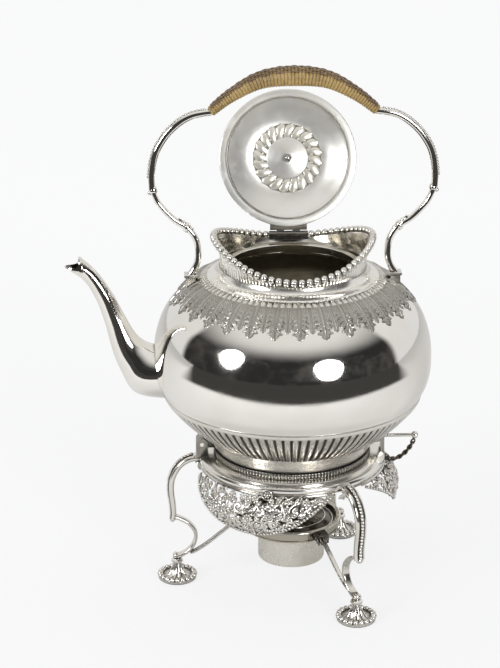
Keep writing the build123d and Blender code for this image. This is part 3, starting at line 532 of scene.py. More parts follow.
# %% Fluted base
flutes, base_r, base_z, flute_top, flute_low = 96, 63.6, 119.4, 148.0, 119.7
cone = curve([(92.7, flute_top), (90.2, 144.4), (81.5, 134.5), (72.5, 126.2), (65.4, 120.8),
              (64.1, flute_low)], 6)
bowl = [(seam_r, seam_z), (93.7, 150.4), (93.4, 149.2), (92.9, 148.4)] + cone
bowl += [(base_r, base_z), (40.0, base_z), (0.0, base_z), (0.0, base_z + wall), (62.0, base_z + wall),
         (77.0, 134.0), (88.0, 145.5), (91.8, seam_z)]


def flute_fade(i):
    """1 along the flutes and 0 on the plain parts of the bowl."""
    z = bowl[i][1]
    if i < 4 or i >= 4 + len(cone):
        return 0.0
    return max(0.0, min(1.0, (flute_top - z) / 0.9, (z - flute_low) / 1.0))


def flute_wave(angle, i):
    groove = abs(sin(angle * flutes / 2))
    return -1.9 * flute_fade(i) * (1 - min(1.0, groove * 1.25)) ** 0.8 * (0.55 + 0.45 * bowl[i][0] / 90)


def flute_shade(angle, i):
    groove = abs(sin(angle * flutes / 2))
    return flute_fade(i) * max(0.0, min(1.0, (0.66 - groove) / 0.20))


lathe("fluted_bowl", bowl, "kettle", chased, ["fluted_base"], count=flutes * 12, wave=flute_wave,
      shade=flute_shade)
seam = curve([(seam_r + 0.05, 151.1), (seam_r + 0.30, 151.5), (seam_r + 0.05, 151.9)], 4)
lathe("seam_line", seam + [(seam_r - 0.8, 151.9), (seam_r - 0.8, 151.1)], "kettle", chased, count=192)
foot = [(63.0, 119.5), (60.8, 116.2), (58.9, 112.8), (57.1, 109.6), (55.8, 107.6), (54.9, 106.9),
        (54.6, 105.6)]
lathe("foot_rim", curve(foot, 5) + [(54.6, 101.9), (53.1, 101.9), (53.1, 119.5)], "kettle", satin,
      ["foot_band"], count=192)

# %% [markdown]
# ## Shoulder leaves
# Feathery leaves are chased round the shoulder, with their stems at the neck and their tips on
# the belly. Each is a thin relief with a midrib and swept lobes, laid on the belly's curve.


# %% Shoulder leaves
belly_run = run_length(belly_line)


def on_shoulder(along, sideways, azimuth, lift):
    """Point on the belly: along millimetres down the shoulder, sideways millimetres across."""
    r, r2 = (np.interp(s, belly_run, belly_line[:, 0]) for s in (along, along + 0.5))
    z, z2 = (np.interp(s, belly_run, belly_line[:, 1]) for s in (along, along + 0.5))
    slope = hypot(r2 - r, z2 - z)
    out_r, out_z = -(z2 - z) / slope, (r2 - r) / slope
    r, z = r + out_r * lift, z + out_z * lift
    return polar_rad(radians(azimuth) + sideways / r, r, z)


def relief(count, across, place):
    """Rows of place(s, t): s runs from 0 to 1 along the form and t from -1 to 1 across it."""
    return [[place(i / (count - 1), -1 + 2 * j / (across - 1)) for j in range(across)]
            for i in range(count)]


def leaf_rows(azimuth, start, length, width, lobes, height, outline):
    """Relief of one leaf: rows run down the leaf, columns across it; outline gives its width."""
    def place(s, t):
        lobe = (s * lobes) % 1.0
        notch = 1.0 - 0.45 * (1 - lobe) ** 1.3 * min(1.0, s * 1.6)
        half = width / 2 * max(0.02, np.interp(s, *outline) * notch)
        sweep = 0.075 * length * abs(t) ** 1.3
        rib = 0.9 * max(0.0, 1 - abs(t) * 7.0)
        vein = 0.45 * sin(2 * pi * (s * lobes * 2 - abs(t) * 1.3)) * min(1.0, abs(t) * 2.5)
        edge = 1 - abs(t) ** 8
        lift = 0.06 + height * edge * (0.75 + rib + vein) * (1 - 0.4 * s**6)
        return on_shoulder(start + s * length + sweep, t * half, azimuth, lift)
    return relief(lobes * 6 + 1, 17, place)


def leaf_mark(lobes):
    """Painted shade: dark lines along the midrib and between the veins of a leaf."""
    def mark(i, j):
        s, t = i / (lobes * 6), abs(-1 + j / 8)
        beside_rib = max(0.0, 1 - abs(t - 0.19) * 9)
        between = max(0.0, -sin(2 * pi * (s * lobes * 2 - t * 1.3))) * min(1.0, t * 2.5)
        return min(0.85, 0.6 * beside_rib + 0.55 * between + 0.5 * max(0.0, t - 0.85) / 0.15)
    return mark


long_leaf = ((0, 0.30, 0.66, 0.74, 0.82, 0.90, 0.96, 1.0), (0.62, 0.90, 0.98, 0.66, 0.84, 0.58, 0.30, 0.02))
short_leaf = ((0, 0.40, 0.80, 0.93, 1.0), (0.60, 1.0, 0.95, 0.55, 0.02))
leaves = Stock()
leaf_count, leaf_start = 30, 4.6
for k in range(leaf_count):
    turn_deg = 360 * k / leaf_count - 90
    leaves.add(leaf_rows(turn_deg, leaf_start, 29.0, 16.0, 8, 0.75, long_leaf), leaf_mark(8), ring=False)
    leaves.add(leaf_rows(turn_deg + 180 / leaf_count, leaf_start, 24.4, 8.0, 6, 0.50, short_leaf),
               leaf_mark(6), ring=False)
leaves.make("shoulder_leaves", "kettle", leaf_chasing, corner=60)


def stem_point(s, t, azimuth):
    lift = 0.25 + 1.0 * sqrt(max(0.0, 1 - t * t)) * sqrt(max(0.0, sin(pi * (0.08 + 0.87 * s))))
    return on_shoulder(2.6 + 7.0 * s, t * (2.0 + 0.3 * s), azimuth, lift)


# Painted shade along both edges of a stem.
def stem_mark(i, j):
    return 0.7 * max(0.0, abs(-1 + j / 3) - 0.6) / 0.4


stems = Stock()
for k in range(leaf_count * 3):
    stem_deg = 360 * k / (leaf_count * 3)
    stems.add(relief(9, 7, lambda s, t: stem_point(s, t, stem_deg)), stem_mark, ring=False)
stems.make("leaf_stems", "kettle", chased, corner=70)

# %% [markdown]
# ## Neck, collar and rim
# A plain cove covers the joint. Above it the collar flares into a saddle: low at the front and
# back, high at both sides, where it is also waisted. So one line is drawn for the front and one
# for the side, and the radius slides from one to the other. Fine reeds run up the outside.

# %% Neck ring and collar
cove = curve([(61.4, 237.0), (61.5, 237.8), (60.4, 238.6), (57.8, 239.5), (55.4, 241.0), (53.9, 243.2),
              (53.2, 245.4)], 4)
lathe("neck_roll", cove + [(52.4, 245.4), (52.4, 237.0)], "kettle", satin, ["neck_ring"], count=160)
saddle_r, saddle_low = 99.2, 248.0


def saddle_z(x):
    """Height of the rim's underside as seen from the front."""
    return saddle_low + saddle_r - sqrt(saddle_r**2 - min(abs(x), 70.0) ** 2)


flare_line = flow([(52.6, 238.0), (52.6, 243.0), (54.9, 246.0), (56.6, 249.0), (59.2, 257.0), (60.9, 267.0),
                   (61.6, 276.0)], 6)
side_line = flow([(52.6, 238.0), (52.3, 245.0), (52.1, 250.0), (52.9, 256.0), (54.9, 263.0), (58.0, 270.0),
                  (61.4, 276.0)], 6)


def flare_radius(z, angle=pi / 2):
    """Outside radius of the collar, which is waisted at both sides."""
    share = cos(angle) ** 2
    front, side = (float(np.interp(z, line[:, 1], line[:, 0])) for line in (flare_line, side_line))
    return front + (side - front) * share


def rim_point(angle, lift=0.0, out=0.0):
    """Point on the collar's top edge; angle in radians."""
    z = saddle_low + 2
    for _ in range(20):
        z = saddle_z(flare_radius(z, angle) * cos(angle))
    r = flare_radius(z, angle) + out
    return Vector((r * cos(angle), r * sin(angle), z + lift))


hinge_half, reeds, collar_low, collar_thick, notch_z = 14.9, 120, 238.0, 1.4, 246.4


def collar_top(angle):
    """Height of the collar's edge, which is notched under the hinge."""
    top = rim_point(angle).z
    if sin(angle) > 0 and abs(flare_radius(top, angle) * cos(angle)) < hinge_half:
        top = min(top, notch_z)
    return top


def collar_rows(count, low):
    rows = []
    for k in range(count):
        a = 2 * pi * k / count
        top = collar_top(a)
        outer_row, inner_row = [], []
        for i in range(9):
            z = low + (top - low) * i / 8
            r = flare_radius(z, a)
            groove = 0.7 * (1 - abs(sin(a * reeds / 2))) * (0.35 < i / 8 < 0.97)
            outer_row.append(polar_rad(a, r - groove, z))
            inner_row.append(polar_rad(a, r - collar_thick, z))
        rows.append(outer_row + inner_row[::-1])
    return rows


# Painted shade in the grooves between the reeds.
def reed_mark(k, i):
    return 0.55 * max(0.0, 0.5 - abs(sin(pi * k / 8))) / 0.5 if 3 <= i <= 7 else 0.0


collar = Stock().add(collar_rows(reeds * 8, collar_low), reed_mark, around=True)
collar.make("collar_wall", "kettle", turned, ["collar"], slot="polished_silver")
collar_skin, skin_low = [], 240.0
for k in range(240):
    a = 2 * pi * k / 240
    top = collar_top(a) - 0.6
    heights = [skin_low + (top - skin_low) * i / 8 for i in range(9)]
    face_in, back = ([polar_rad(a, flare_radius(z, a) - deep, z) for z in heights] for deep in (1.45, 1.40))
    collar_skin.append(face_in + back[::-1])
lining_form = Stock().add(collar_skin, around=True)
lining_form.make("collar_lining", "kettle", inside_neck, slot="polished_silver")

# %% [markdown]
# The pearls were cast in a strip and bent to the saddle. Equal steps along the curve keep them
# even, so the rim is measured first and then dealt out.


# %% Pearl rim
def deal(path, pitch):
    """Equally spaced points along a path."""
    path = np.array(path, float)
    run = run_length(path)
    count = max(2, int(round(run[-1] / pitch)) + 1)
    return [np.array([np.interp(t, run, path[:, c]) for c in range(3)])
            for t in np.linspace(0, run[-1], count)]


clear = asin((hinge_half + 2.1) / 56.5)
rim_angles = np.linspace(pi / 2 + clear, pi / 2 - clear + 2 * pi, 400)
rim_line = [rim_point(a, 1.5, -0.3 + 1.1 * cos(a) ** 2) for a in rim_angles]
pearls = Stock()
for spot in deal(rim_line, 5.35):
    pearls.bead(spot, 2.55, (1, 1, 1.12), count=14)
pearls.make("pearl_rim", "kettle", pearl, ["rim_beading"], corner=80)
# Painted shadow: a dark strip under the pearls.
bead_bed = [rim_point(a, 0.2, -0.7) for a in rim_angles]
bed = Stock().add(draw(bead_bed, oval(3.2, 1.6, 12), [(0, 0, 1)] * len(bead_bed)))
bed.make("pearl_shadow_bed", "kettle", shade_dark_silver)
seat = [(45.4, 242.0), (51.2, 242.0), (51.2, 243.0), (49.4, 243.0), (49.4, 245.2), (49.0, 245.6),
        (45.8, 245.6), (45.4, 245.2)]
lathe("seat_ring", seat, "kettle", turned, ["lid_seat"])

# %% [markdown]
# ## Lid
# The lid is drawn closed, as it was turned, and then swung about its hinge by 107 degrees. So
# every lid piece is written once in the easy position.

# %% Lid helpers
hinge_y, hinge_z, lid_z, swing = 55.6, 250.6, 246.0, radians(-107)


def opened(v):
    """Moves a point of the closed lid to the open lid."""
    y, z = v[1] - hinge_y, v[2] + lid_z - hinge_z
    return (v[0], hinge_y + y * cos(swing) - z * sin(swing), hinge_z + y * sin(swing) + z * cos(swing))


dome_out = curve([(46.8, 1.6), (45.2, 3.6), (43.2, 6.0), (38.0, 9.2), (31.0, 10.9)], 8)
dome_in = [(0.0, 9.8), (31.0, 9.8), (44.8, 0.0)]
dome_edge = [(49.6, 0.0), (50.2, 0.4), (50.2, 1.2), (49.6, 1.6)]
dome = dome_in + dome_edge + dome_out + [(0.0, 11.0)]
lathe("lid_shell", dome, "lid", polished, ["lid_dome"], count=160, change=opened)
lining = curve([(0.0, 9.7), (14.0, 9.7), (24.0, 9.5), (29.0, 8.6), (34.0, 6.4), (39.5, 3.0),
                (43.6, 0.6)], 6)
lathe("lid_lining", lining + [(r, z + 0.04) for r, z in lining[::-1]], "lid", spun, count=160,
      change=opened)
rim_face = [(44.4, 0.0), (45.4, -0.12), (49.4, -0.12), (50.0, 0.1), (50.0, 0.3), (44.4, 0.3)]
lathe("rim_face", rim_face, "lid", spun, count=160, change=opened)
bezel = [(44.8, 0.0), (44.8, -2.8), (44.5, -3.2), (43.9, -3.2), (43.6, -2.8), (43.6, 0.0)]
lathe("bezel_ring", bezel, "lid", ring_satin, ["lid_bezel"], count=160, change=opened)

# %% [markdown]
# Inside the lid a ring of chased petals surrounds a dished washer, which a nut holds down.

# %% Petal ring, washer and nut
petals, crown = 20, 9.8


def petal_rows(angle):
    """One swept petal, rounded at its outer end."""
    def place(s, t):
        rounding = sqrt(max(0.0, 1 - max(0.0, (s - 0.60) / 0.40) ** 2))
        half = 4.9 * (0.56 + 0.44 * s) * rounding if s < 1 else 0.05
        r, a = 15.4 + 10.8 * s - 0.9 * abs(t) * s, angle + 0.16 * s
        lift = 0.5 + 1.7 * (1 - t * t) ** 0.5 * (0.55 + 0.45 * sin(pi * min(1.0, s * 1.15)))
        return (r * cos(a) - t * half * sin(a), r * sin(a) + t * half * cos(a), crown - lift)
    return relief(11, 11, place)


# Painted shade along the edges of each petal.
def petal_mark(i, j):
    return 0.75 * max(0.0, abs(-1 + j / 5) - 0.72) / 0.28


boss = Stock()
for k in range(petals):
    boss.add(petal_rows(2 * pi * k / petals), petal_mark, ring=False)
    a = 2 * pi * (k + 0.5) / petals + 0.03
    boss.bead(polar_rad(a, 18.2, crown - 1.5), 1.15)
# The ring under the petals is darkened with painted shade.
under = [(15.4, 9.8), (15.4, 9.1), (24.0, 9.1), (25.2, 9.4), (25.2, 9.8)]
boss.add(turn(under, 96), lambda k, i: 0.8, around=True)
boss.move(opened).make("petal_ring", "lid", cream, ["leaf_boss"], corner=70)
washer = curve([(15.3, 8.3), (14.8, 7.9), (9.5, 6.5), (4.5, 5.4)], 6)
lathe("dished_washer", [(0.0, 9.8), (15.3, 9.8)] + washer + [(0.0, 5.3)], "lid", spun, ["boss_cone"],
      count=96, change=opened)
nut = Stock()
for sides, levels in ((6, ((5.3, 3.4), (2.7, 3.4), (2.3, 3.0))),
                      (16, ((2.4, 1.5), (1.4, 1.5), (1.1, 1.1)))):
    nut.add([[polar_rad(2 * pi * k / sides, r, z) for k in range(sides)] for z, r in levels])
nut.move(opened).make("nut_and_screw", "lid", chased, ["finial_nut"], slot="polished_silver")
urn = curve([(9.0, 11.0), (8.0, 12.4), (4.4, 14.4), (2.7, 18.0), (6.4, 23.0), (6.6, 24.4), (4.6, 28.8),
             (2.5, 31.6), (2.9, 33.4), (1.8, 35.4), (0.0, 36.0)], 6)
lathe("urn_finial", urn + [(0.0, 11.0)], "lid", turned, ["finial"], count=64, change=opened)

# %% [markdown]
# ## Spout
# The spout is a swan neck. Ellipses set along a curve and joined give its taper, and the inside
# of the mouth is drawn back down so that the lip shows the thickness of the sheet. The sides of
# the mouth are then cut back, which leaves a beak, and the throat behind it is dark with painted shade.

# %% Spout
spout_spots = [(-84.0, 168.5, 46.0, 45.0, 2.0), (-104.0, 168.0, 40.0, 36.0, 28.0),
               (-114.5, 177.5, 28.0, 25.5, 42.0), (-121.5, 190.0, 20.0, 18.5, 62.0),
               (-127.5, 206.0, 15.2, 14.4, 68.0), (-135.0, 224.0, 12.4, 11.8, 62.0),
               (-144.5, 239.0, 11.2, 10.8, 52.0), (-157.0, 249.5, 13.4, 12.6, 56.0)]
spout_curve, inside_from, throat_from = flow(spout_spots, 8), 14, 30


def spout_rows(shrink, spots):
    """Leaning ellipses at (x, z, height, depth, lean), each made smaller all round by shrink."""
    rows = []
    for x, z, height, depth, lean in spots:
        a = radians(180 - lean)
        across = np.array((sin(a), 0, -cos(a)))
        rows.append([np.array((x, 0, z)) + across * (height / 2 - shrink) * cos(2 * pi * k / 48)
                     + np.array((0, 1, 0)) * (depth / 2 - shrink) * sin(2 * pi * k / 48)
                     for k in range(48)])
    return rows


def beak(v):
    """Cuts the sides of the mouth back, so that the lower lip is left as a point."""
    end, back = np.array(spout_curve[-1][:2]), np.array(spout_curve[-5][:2])
    reach, deepest, half_mouth, neck_z = 16.0, 10.5, 6.3, 230.0
    way = (end - back) / np.linalg.norm(end - back)
    along = float((np.array((v[0], v[2])) - end) @ way)
    if along < -reach or v[2] < neck_z:
        return v
    cut = deepest * (1 - sqrt(1 - min(1.0, abs(v[1]) / half_mouth) ** 2)) * (along + reach) / reach
    return (v[0] - way[0] * cut, v[1], v[2] - way[1] * cut)


outer_rows = spout_rows(0.0, spout_curve)
inner_rows = spout_rows(1.1, spout_curve[inside_from:])[::-1]
swan = Stock().add(outer_rows + spout_rows(0.4, spout_curve[-1:]) + inner_rows, caps=False).move(beak)
swan.make("swan_spout", "kettle", polished, ["spout"], 50, slot="polished_silver")
# The throat is dark silver: painted shade inside the mouth.
throat = spout_rows(1.15, spout_curve[throat_from:]) + spout_rows(1.2, spout_curve[throat_from:])[::-1]
throat_form = Stock().add(throat, around=True).move(beak)
throat_form.make("spout_throat", "kettle", shade_dark_silver, slot="polished_silver")

# %% [markdown]
# ## Handle
# Two cast arms rise from sockets on the shoulder. Their upper half is a tapered scroll with a
# row of beads along its back; the lower half is a thin bar with a leaf at the joint.

# %% Handle arms
grip_spots = [(-58.0, 357.5), (-43.0, 369.0), (-23.0, 379.3), (0, 382.0), (23.0, 379.3), (43.0, 369.0),
              (58.0, 357.5)]
arm_upper = [(-57.5, 357.2), (-64.0, 356.4), (-72.0, 354.4), (-80.5, 349.4), (-89.6, 340.4), (-96.6, 328.0),
             (-99.5, 314.0), (-99.6, 302.4)]
arm_lower = [(-99.0, 303.0), (-97.4, 296.5), (-93.6, 289.6), (-84.5, 279.9), (-76.5, 274.6), (-71.8, 269.8),
             (-68.2, 262.4), (-67.4, 252.0), (-69.2, 244.8), (-73.0, 238.6)]


def flat_path(points, steps=8):
    """Smooth path in the plane of the handle from (x, z) points."""
    return np.array([(x, 0, z) for x, z in flow(points, steps)])


def mirrored(side):
    return lambda v: (v[0] * -side, v[1], v[2])


def handle_arm(side, name, replaces):
    stock, beads = Stock(), Stock()
    upper, lower = flat_path(arm_upper), flat_path(arm_lower)
    stock.add(draw(upper, lambda t: strap(6.2 - 0.8 * t, 4.4 + 0.6 * sin(pi * t), 0.42)))
    stock.add(draw(lower, lambda t: strap(5.4 + 0.9 * t, 3.4 + 1.3 * t, 0.42)))
    backbone = upper + np.cross(course(upper), (0, 1, 0)) * -2.5
    for spot in deal(backbone[6:-6], 2.3):
        beads.bead(spot, 1.0)
    for x, z, r, flat in ((-98.6, 301.2, 3.0, 1.0), (-101.2, 299.4, 1.5, 1.0), (-75.2, 273.6, 3.3, 0.95),
                          (-77.4, 276.8, 2.0, 0.95), (-72.2, 271.6, 2.2, 0.95)):
        stock.bead((x, 0, z), r, (flat, 1.0, 1.15), count=14)
    for lean in (-1, 0, 1):
        tip = np.array((-79.4 - 1.2 * lean, 0, 279.0 + 1.6 * lean))
        stock.add(draw([(-74.5, 1.4 * lean, 273.0), (-77.0, 2.2 * lean, 276.2), tip], oval(2.0, 1.4, 8)))
    stock.move(mirrored(side)).make(name, "kettle", polished, replaces, corner=50)
    beads.move(mirrored(side)).make(name + "_beads", "kettle", pearl, corner=80)


handle_arm(-1, "arm_left", ["handle_arm_left"])
handle_arm(1, "arm_right", ["handle_arm_right"])

# %% [markdown]
# The grip swells in the middle. Cane is wound round it in tight turns, so its surface is a row
# of small rolls. Along the top, darker strands are woven over and under the winding.

# %% Cane grip
grip_path = flat_path(grip_spots, 72)
grip_sizes = flow([(7.4, 8.0), (9.4, 10.4), (12.2, 13.0), (14.0, 14.5), (12.2, 13.0), (9.4, 10.4),
                   (7.4, 8.0)], 72)
turns_of_cane = 58


def grip_section(t):
    height, depth = grip_sizes[int(round(t * (len(grip_sizes) - 1)))]
    roll = abs(sin(pi * t * turns_of_cane)) ** 0.6
    shrink = 1.1 * (1 - roll)
    return oval(depth - shrink, height - shrink, 40)


# Painted shade between the turns of cane.
def wrap_mark(i, j):
    t = i / (len(grip_path) - 1)
    return 0.9 * max(0.0, 0.42 - abs(sin(pi * t * turns_of_cane))) / 0.42


winding = Stock().add(draw(grip_path, grip_section), wrap_mark)
winding.make("cane_grip", "kettle", cane_gold, ["handle_grip"], 80, slot="cane")
weave = Stock()
strands = 7
for s in range(strands):
    across_deg = -48 + 96 * s / (strands - 1)
    line = []
    for i, point in enumerate(grip_path[10:-10]):
        t = (i + 10) / (len(grip_path) - 1)
        height, depth = grip_sizes[i + 10]
        way = grip_path[i + 11] - grip_path[i + 9]
        up = np.array((-way[2], 0, way[0])) / hypot(way[0], way[2])
        wave_up = 0.45 * sin(pi * t * turns_of_cane / 2 + pi * s)
        a = radians(across_deg)
        line.append(point + up * (height / 2 - 0.35 + wave_up) * cos(a)
                    + np.array((0, 1, 0)) * (depth / 2 - 0.35 + wave_up) * sin(a))
    weave.add(draw(line[::2], strap(1.9, 0.9, 0.4, 3)))
weave.make("woven_rib", "kettle", cane_brown, corner=70, slot="cane")

# %% [markdown]
# Square sockets take the arms. A pointed leaf below each one spreads the load on the shoulder.


# %% Sockets and leaf plates
socket_x, square = 73.0, ((1, 1), (-1, 1), (-1, -1), (1, -1))


def arm_socket(side, name, replaces):
    stock = Stock()
    x = side * socket_x
    for half_x, half_y, low, high in ((4.5, 4.75, 237.3, 239.5), (3.5, 3.75, 229.0, 237.3)):
        rows = []
        for grow, z in ((-0.4, low), (0, low + 0.4), (0, high - 0.4), (-0.4, high)):
            rows.append([(x + sx * (half_x + grow), sy * (half_y + grow), z) for sx, sy in square])
        stock.add(rows)
    stock.make(name, "kettle", chased, replaces, 30, slot="polished_silver")


def shoulder_plate(side, name, replaces):
    stock = Stock()
    azimuth = 0 if side > 0 else 180
    stock.add(leaf_rows(azimuth, 9.5, 28.0, 14.0, 5, 1.1, short_leaf), leaf_mark(5), ring=False)
    stock.make(name, "kettle", chased, replaces, corner=60)


for side, word in ((-1, "left"), (1, "right")):
    arm_socket(side, "socket_" + word, ["handle_socket_" + word])
    shoulder_plate(side, "leaf_" + word, ["leaf_plate_" + word])

# %% [markdown]
# ## Stand ring and gallery
# The kettle's foot drops into a milled band on a polished ogee ring. Both are turned, and the
# teeth of the band are a quick wave on its radius.

# %% Ring and gallery
ogee = curve([(57.4, 102.5), (62.6, 102.2), (66.5, 100.9), (68.1, 99.1), (68.1, 97.2), (67.7, 96.0)], 8)
ogee += [(68.4, 95.6), (68.5, 95.2), (67.9, 94.8), (65.1, 94.8), (63.5, 97.6), (59.5, 99.2), (48.5, 99.2),
         (48.5, 101.6), (56.9, 101.6), (56.9, 102.5)]
lathe("ogee_ring", ogee, "stand", ring_satin, ["stand_ring"], count=192)
milled = 140
band = [(55.3, 101.6), (57.2, 101.6), (57.0, 102.8), (57.2, 103.1), (57.2, 106.2), (56.9, 106.7),
        (55.3, 106.7)]


def mill_wave(angle, i):
    return -0.6 * (1 - abs(sin(angle * milled / 2)) ** 0.6) if 3 <= i <= 4 else 0.0


def mill_shade(angle, i):
    return 0.9 * max(0.0, 0.62 - abs(sin(angle * milled / 2))) / 0.62 if 3 <= i <= 4 else 0.0


lathe("milled_band", band, "stand", aged, ["gallery_band"], milled * 8, mill_wave, shade=mill_shade,
      slot="chased_silver")

# %% [markdown]
# ## Pierced panels
# Three lunettes of cast scrollwork hang below the ring. Each is built as a goldsmith would wire
# it: a top rail, a beaded edge, C-scrolls, flowers and small leaves, all lying on one bent sheet.

# %% Panel surface
leg_places = [("left", 180.0), ("front", 300.0), ("rear", 60.0)]
panel_shift, badge_shift, skirt_top_z, skirt_low, panel_half = 3.0, 12.0, 94.8, 66.4, 51.0
skirt_line = flow([(67.2, 94.8), (71.4, 91.5), (74.9, 87.5), (76.9, 82.5), (77.0, 77.0), (75.8, 72.0),
                   (73.6, 68.0), (72.0, 65.0)], 8)


def on_panel(azimuth, u, z, lift=0.0):
    """Point on a panel: u millimetres sideways as seen from outside, z height."""
    r = float(np.interp(z, skirt_line[::-1, 1], skirt_line[::-1, 0])) + lift
    a = radians(azimuth) + asin(max(-0.99, min(0.99, u / r)))
    return np.array(polar_rad(a, r, z))


def panel_low(u):
    """Lower edge of the lunette."""
    return skirt_low + (92.4 - skirt_low) * (abs(u) / panel_half) ** 2.2


def outward(point):
    length = hypot(point[0], point[1])
    return np.array((point[0] / length, point[1] / length, 0.25))


# %% [markdown]
# A scroll is a spiral that opens into a stem. Drawing it in flat panel coordinates and then
# bending it onto the panel keeps every curl on the sheet.


# %% Scrolls, flowers and leaves
def wire_mark(i, j):
    """Painted shade on the flanks and back; the eighth of the section that looks outwards stays bright."""
    return min(0.9, max(0.0, 0.72 + sin(pi * j / 4)))


def wire_on(stock, azimuth, line, width, thick=1.5, lift=0.5):
    """Lays a wire on a panel; width is a number or a function of the place along it."""
    path = [on_panel(azimuth, u, z, lift) for u, z in line]
    sides = [np.cross(outward(p), np.gradient(np.array(path), axis=0)[i]) for i, p in enumerate(path)]
    sides = [s / np.linalg.norm(s) for s in sides]
    grow = width if callable(width) else (lambda t: width)

    def section(t):
        high = thick * (0.5 + 0.5 * grow(t) / grow(0.5))
        return oval(max(0.3, grow(t)), max(0.3, high), 8)

    stock.add(draw(path, section, sides), wire_mark)


def scroll(stock, azimuth, u, z, size, start, hand, turns=1.35, width=2.3):
    """Spiral with a ball in its eye; start in degrees, hand +1 or -1."""
    line = []
    steps = int(26 * turns)
    for i in range(steps + 1):
        t = i / steps
        a = radians(start) + hand * 2 * pi * turns * t
        r = size * (0.20 + 0.80 * t**1.2)
        line.append((u + r * cos(a), z + r * sin(a)))
    wire_on(stock, azimuth, line, lambda t: width * (1.15 - 0.35 * abs(2 * t - 1)), thick=1.9)
    stock.bead(on_panel(azimuth, u, z, 0.9), size * 0.27)


def flower(stock, azimuth, u, z, size, petal_count=6):
    for k in range(petal_count):
        a = 2 * pi * k / petal_count + 0.3
        spot = on_panel(azimuth, u + size * 0.62 * cos(a), z + size * 0.62 * sin(a), 0.7)
        stock.bead(spot, size * 0.36)
    stock.bead(on_panel(azimuth, u, z, 1.2), size * 0.34)


def leaflet(stock, azimuth, u, z, length, heading):
    a = radians(heading)
    line = [(u + length * s * cos(a) - 0.8 * sin(pi * s) * sin(a),
             z + length * s * sin(a) + 0.8 * sin(pi * s) * cos(a)) for s in np.linspace(0, 1, 7)]
    wire_on(stock, azimuth, line, lambda t: 0.5 + 2.4 * max(0.0, sin(pi * min(1, t * 1.05))) ** 0.8,
            thick=1.6)


# %% [markdown]
# One half of a panel is laid out and mirrored. Seeded leaves, small scrolls and flowers
# then fill the gaps, because the real casting leaves hardly any open ground.

# %% Build panels
half_scrolls = [  # u, z, size, start angle, hand, turns
    (8.4, 86.0, 5.0, 200, -1, 1.3), (8.0, 75.2, 4.6, 100, 1, 1.2), (20.2, 87.6, 4.6, 30, -1, 1.3),
    (19.4, 77.2, 4.8, 250, 1, 1.3), (32.0, 86.4, 4.6, 150, -1, 1.2), (30.4, 79.2, 3.0, 300, 1, 1.1),
    (41.0, 89.4, 3.2, 60, -1, 1.1), (2.4, 69.8, 2.4, 300, 1, 1.0), (14.4, 70.4, 2.4, 240, -1, 1.0),
    (14.4, 91.6, 2.3, 240, -1, 1.0), (26.2, 91.8, 2.2, 200, 1, 1.0), (37.0, 92.0, 1.9, 240, -1, 1.0),
    (25.4, 82.6, 2.4, 20, 1, 1.0), (3.0, 91.6, 2.4, 120, 1, 1.0), (36.6, 84.2, 2.2, 90, 1, 1.0),
    (24.0, 72.8, 2.2, 160, -1, 1.0)]
half_flowers = [(14.2, 82.0, 2.9), (26.2, 87.6, 2.2), (46.0, 91.8, 1.7), (13.6, 75.4, 1.9),
                (2.6, 75.0, 2.0)]
sprinkle = random.Random(7)


def panel(azimuth, name, replaces):
    stock = Stock()
    edge_u = np.linspace(-panel_half, panel_half, 60)
    wire_on(stock, azimuth, [(u, panel_low(u) + 0.6) for u in edge_u], 2.2, 1.6, 0.0)
    wire_on(stock, azimuth, [(u, skirt_top_z - 0.4) for u in edge_u], 2.2, 1.6, 0.0)
    for spot in deal([on_panel(azimuth, u, panel_low(u) + 0.2, 1.0) for u in edge_u], 2.5):
        stock.bead(spot, 1.2)
    for side in (-1, 1):
        for u, z, size, start, hand, turns in half_scrolls:
            begin = start if side > 0 else 180 - start
            scroll(stock, azimuth, side * u, z, size, begin, hand * side, turns)
        for u, z, size in half_flowers:
            flower(stock, azimuth, side * u, z, size)
        for _ in range(40):
            u = sprinkle.uniform(1, panel_half - 4)
            low = panel_low(u) + 1.5
            z = sprinkle.uniform(low, 92.5) if low < 92 else 92
            leaflet(stock, azimuth, side * u, z, sprinkle.uniform(2.8, 4.8), sprinkle.uniform(0, 360))
    flower(stock, azimuth, 0, 79.6, 3.4, 8)
    for k, u in enumerate(np.arange(-47.5, 47.6, 5.0)):
        for z in np.arange(panel_low(u) + 2.4 + 1.2 * (k % 2), 93.4, 4.7):
            spot_u, spot_z = u + sprinkle.uniform(-0.7, 0.7), z + sprinkle.uniform(-0.7, 0.7)
            if sprinkle.random() < 0.7:
                scroll(stock, azimuth, spot_u, spot_z, 2.7, sprinkle.uniform(0, 360), 1 if u > 0 else -1,
                       0.95, 1.7)
            else:
                flower(stock, azimuth, spot_u, spot_z, 2.1, 5)
    stock.make(name, "stand", pierced, replaces, corner=70)


panel_names = {"left": "spout_front", "front": "rear", "rear": "spout_back"}
panel_azimuths = [azimuth + 60.0 + panel_shift for _, azimuth in leg_places]
for (place_name, _), azimuth in zip(leg_places, panel_azimuths):
    panel(azimuth, "panel_" + panel_names[place_name], ["skirt_" + panel_names[place_name]])
badges = Stock()
for azimuth in [azimuth + badge_shift - panel_shift for azimuth in panel_azimuths]:
    hub = np.array(polar(azimuth, 69.0, 95.6))
    tangent, outward_way = np.array(polar(azimuth + 90, 1, 0)), np.array(polar(azimuth, 1, 0))
    hoop = []
    for k in range(24):
        a = 2 * pi * k / 24
        away = tangent * cos(a) + np.array((0, 0, sin(a)))
        hoop.append([hub + away * (3.7 + 0.55 * cos(b)) + outward_way * (0.6 + 0.75 * sin(b))
                     for b in full_turn(8)])
        if k % 4 == 0:
            badges.bead(hub + away * 1.9 + outward_way * 0.5, 1.05)
    badges.add(hoop, around=True)
    badges.bead(hub + outward_way * 0.8, 1.15, count=10)
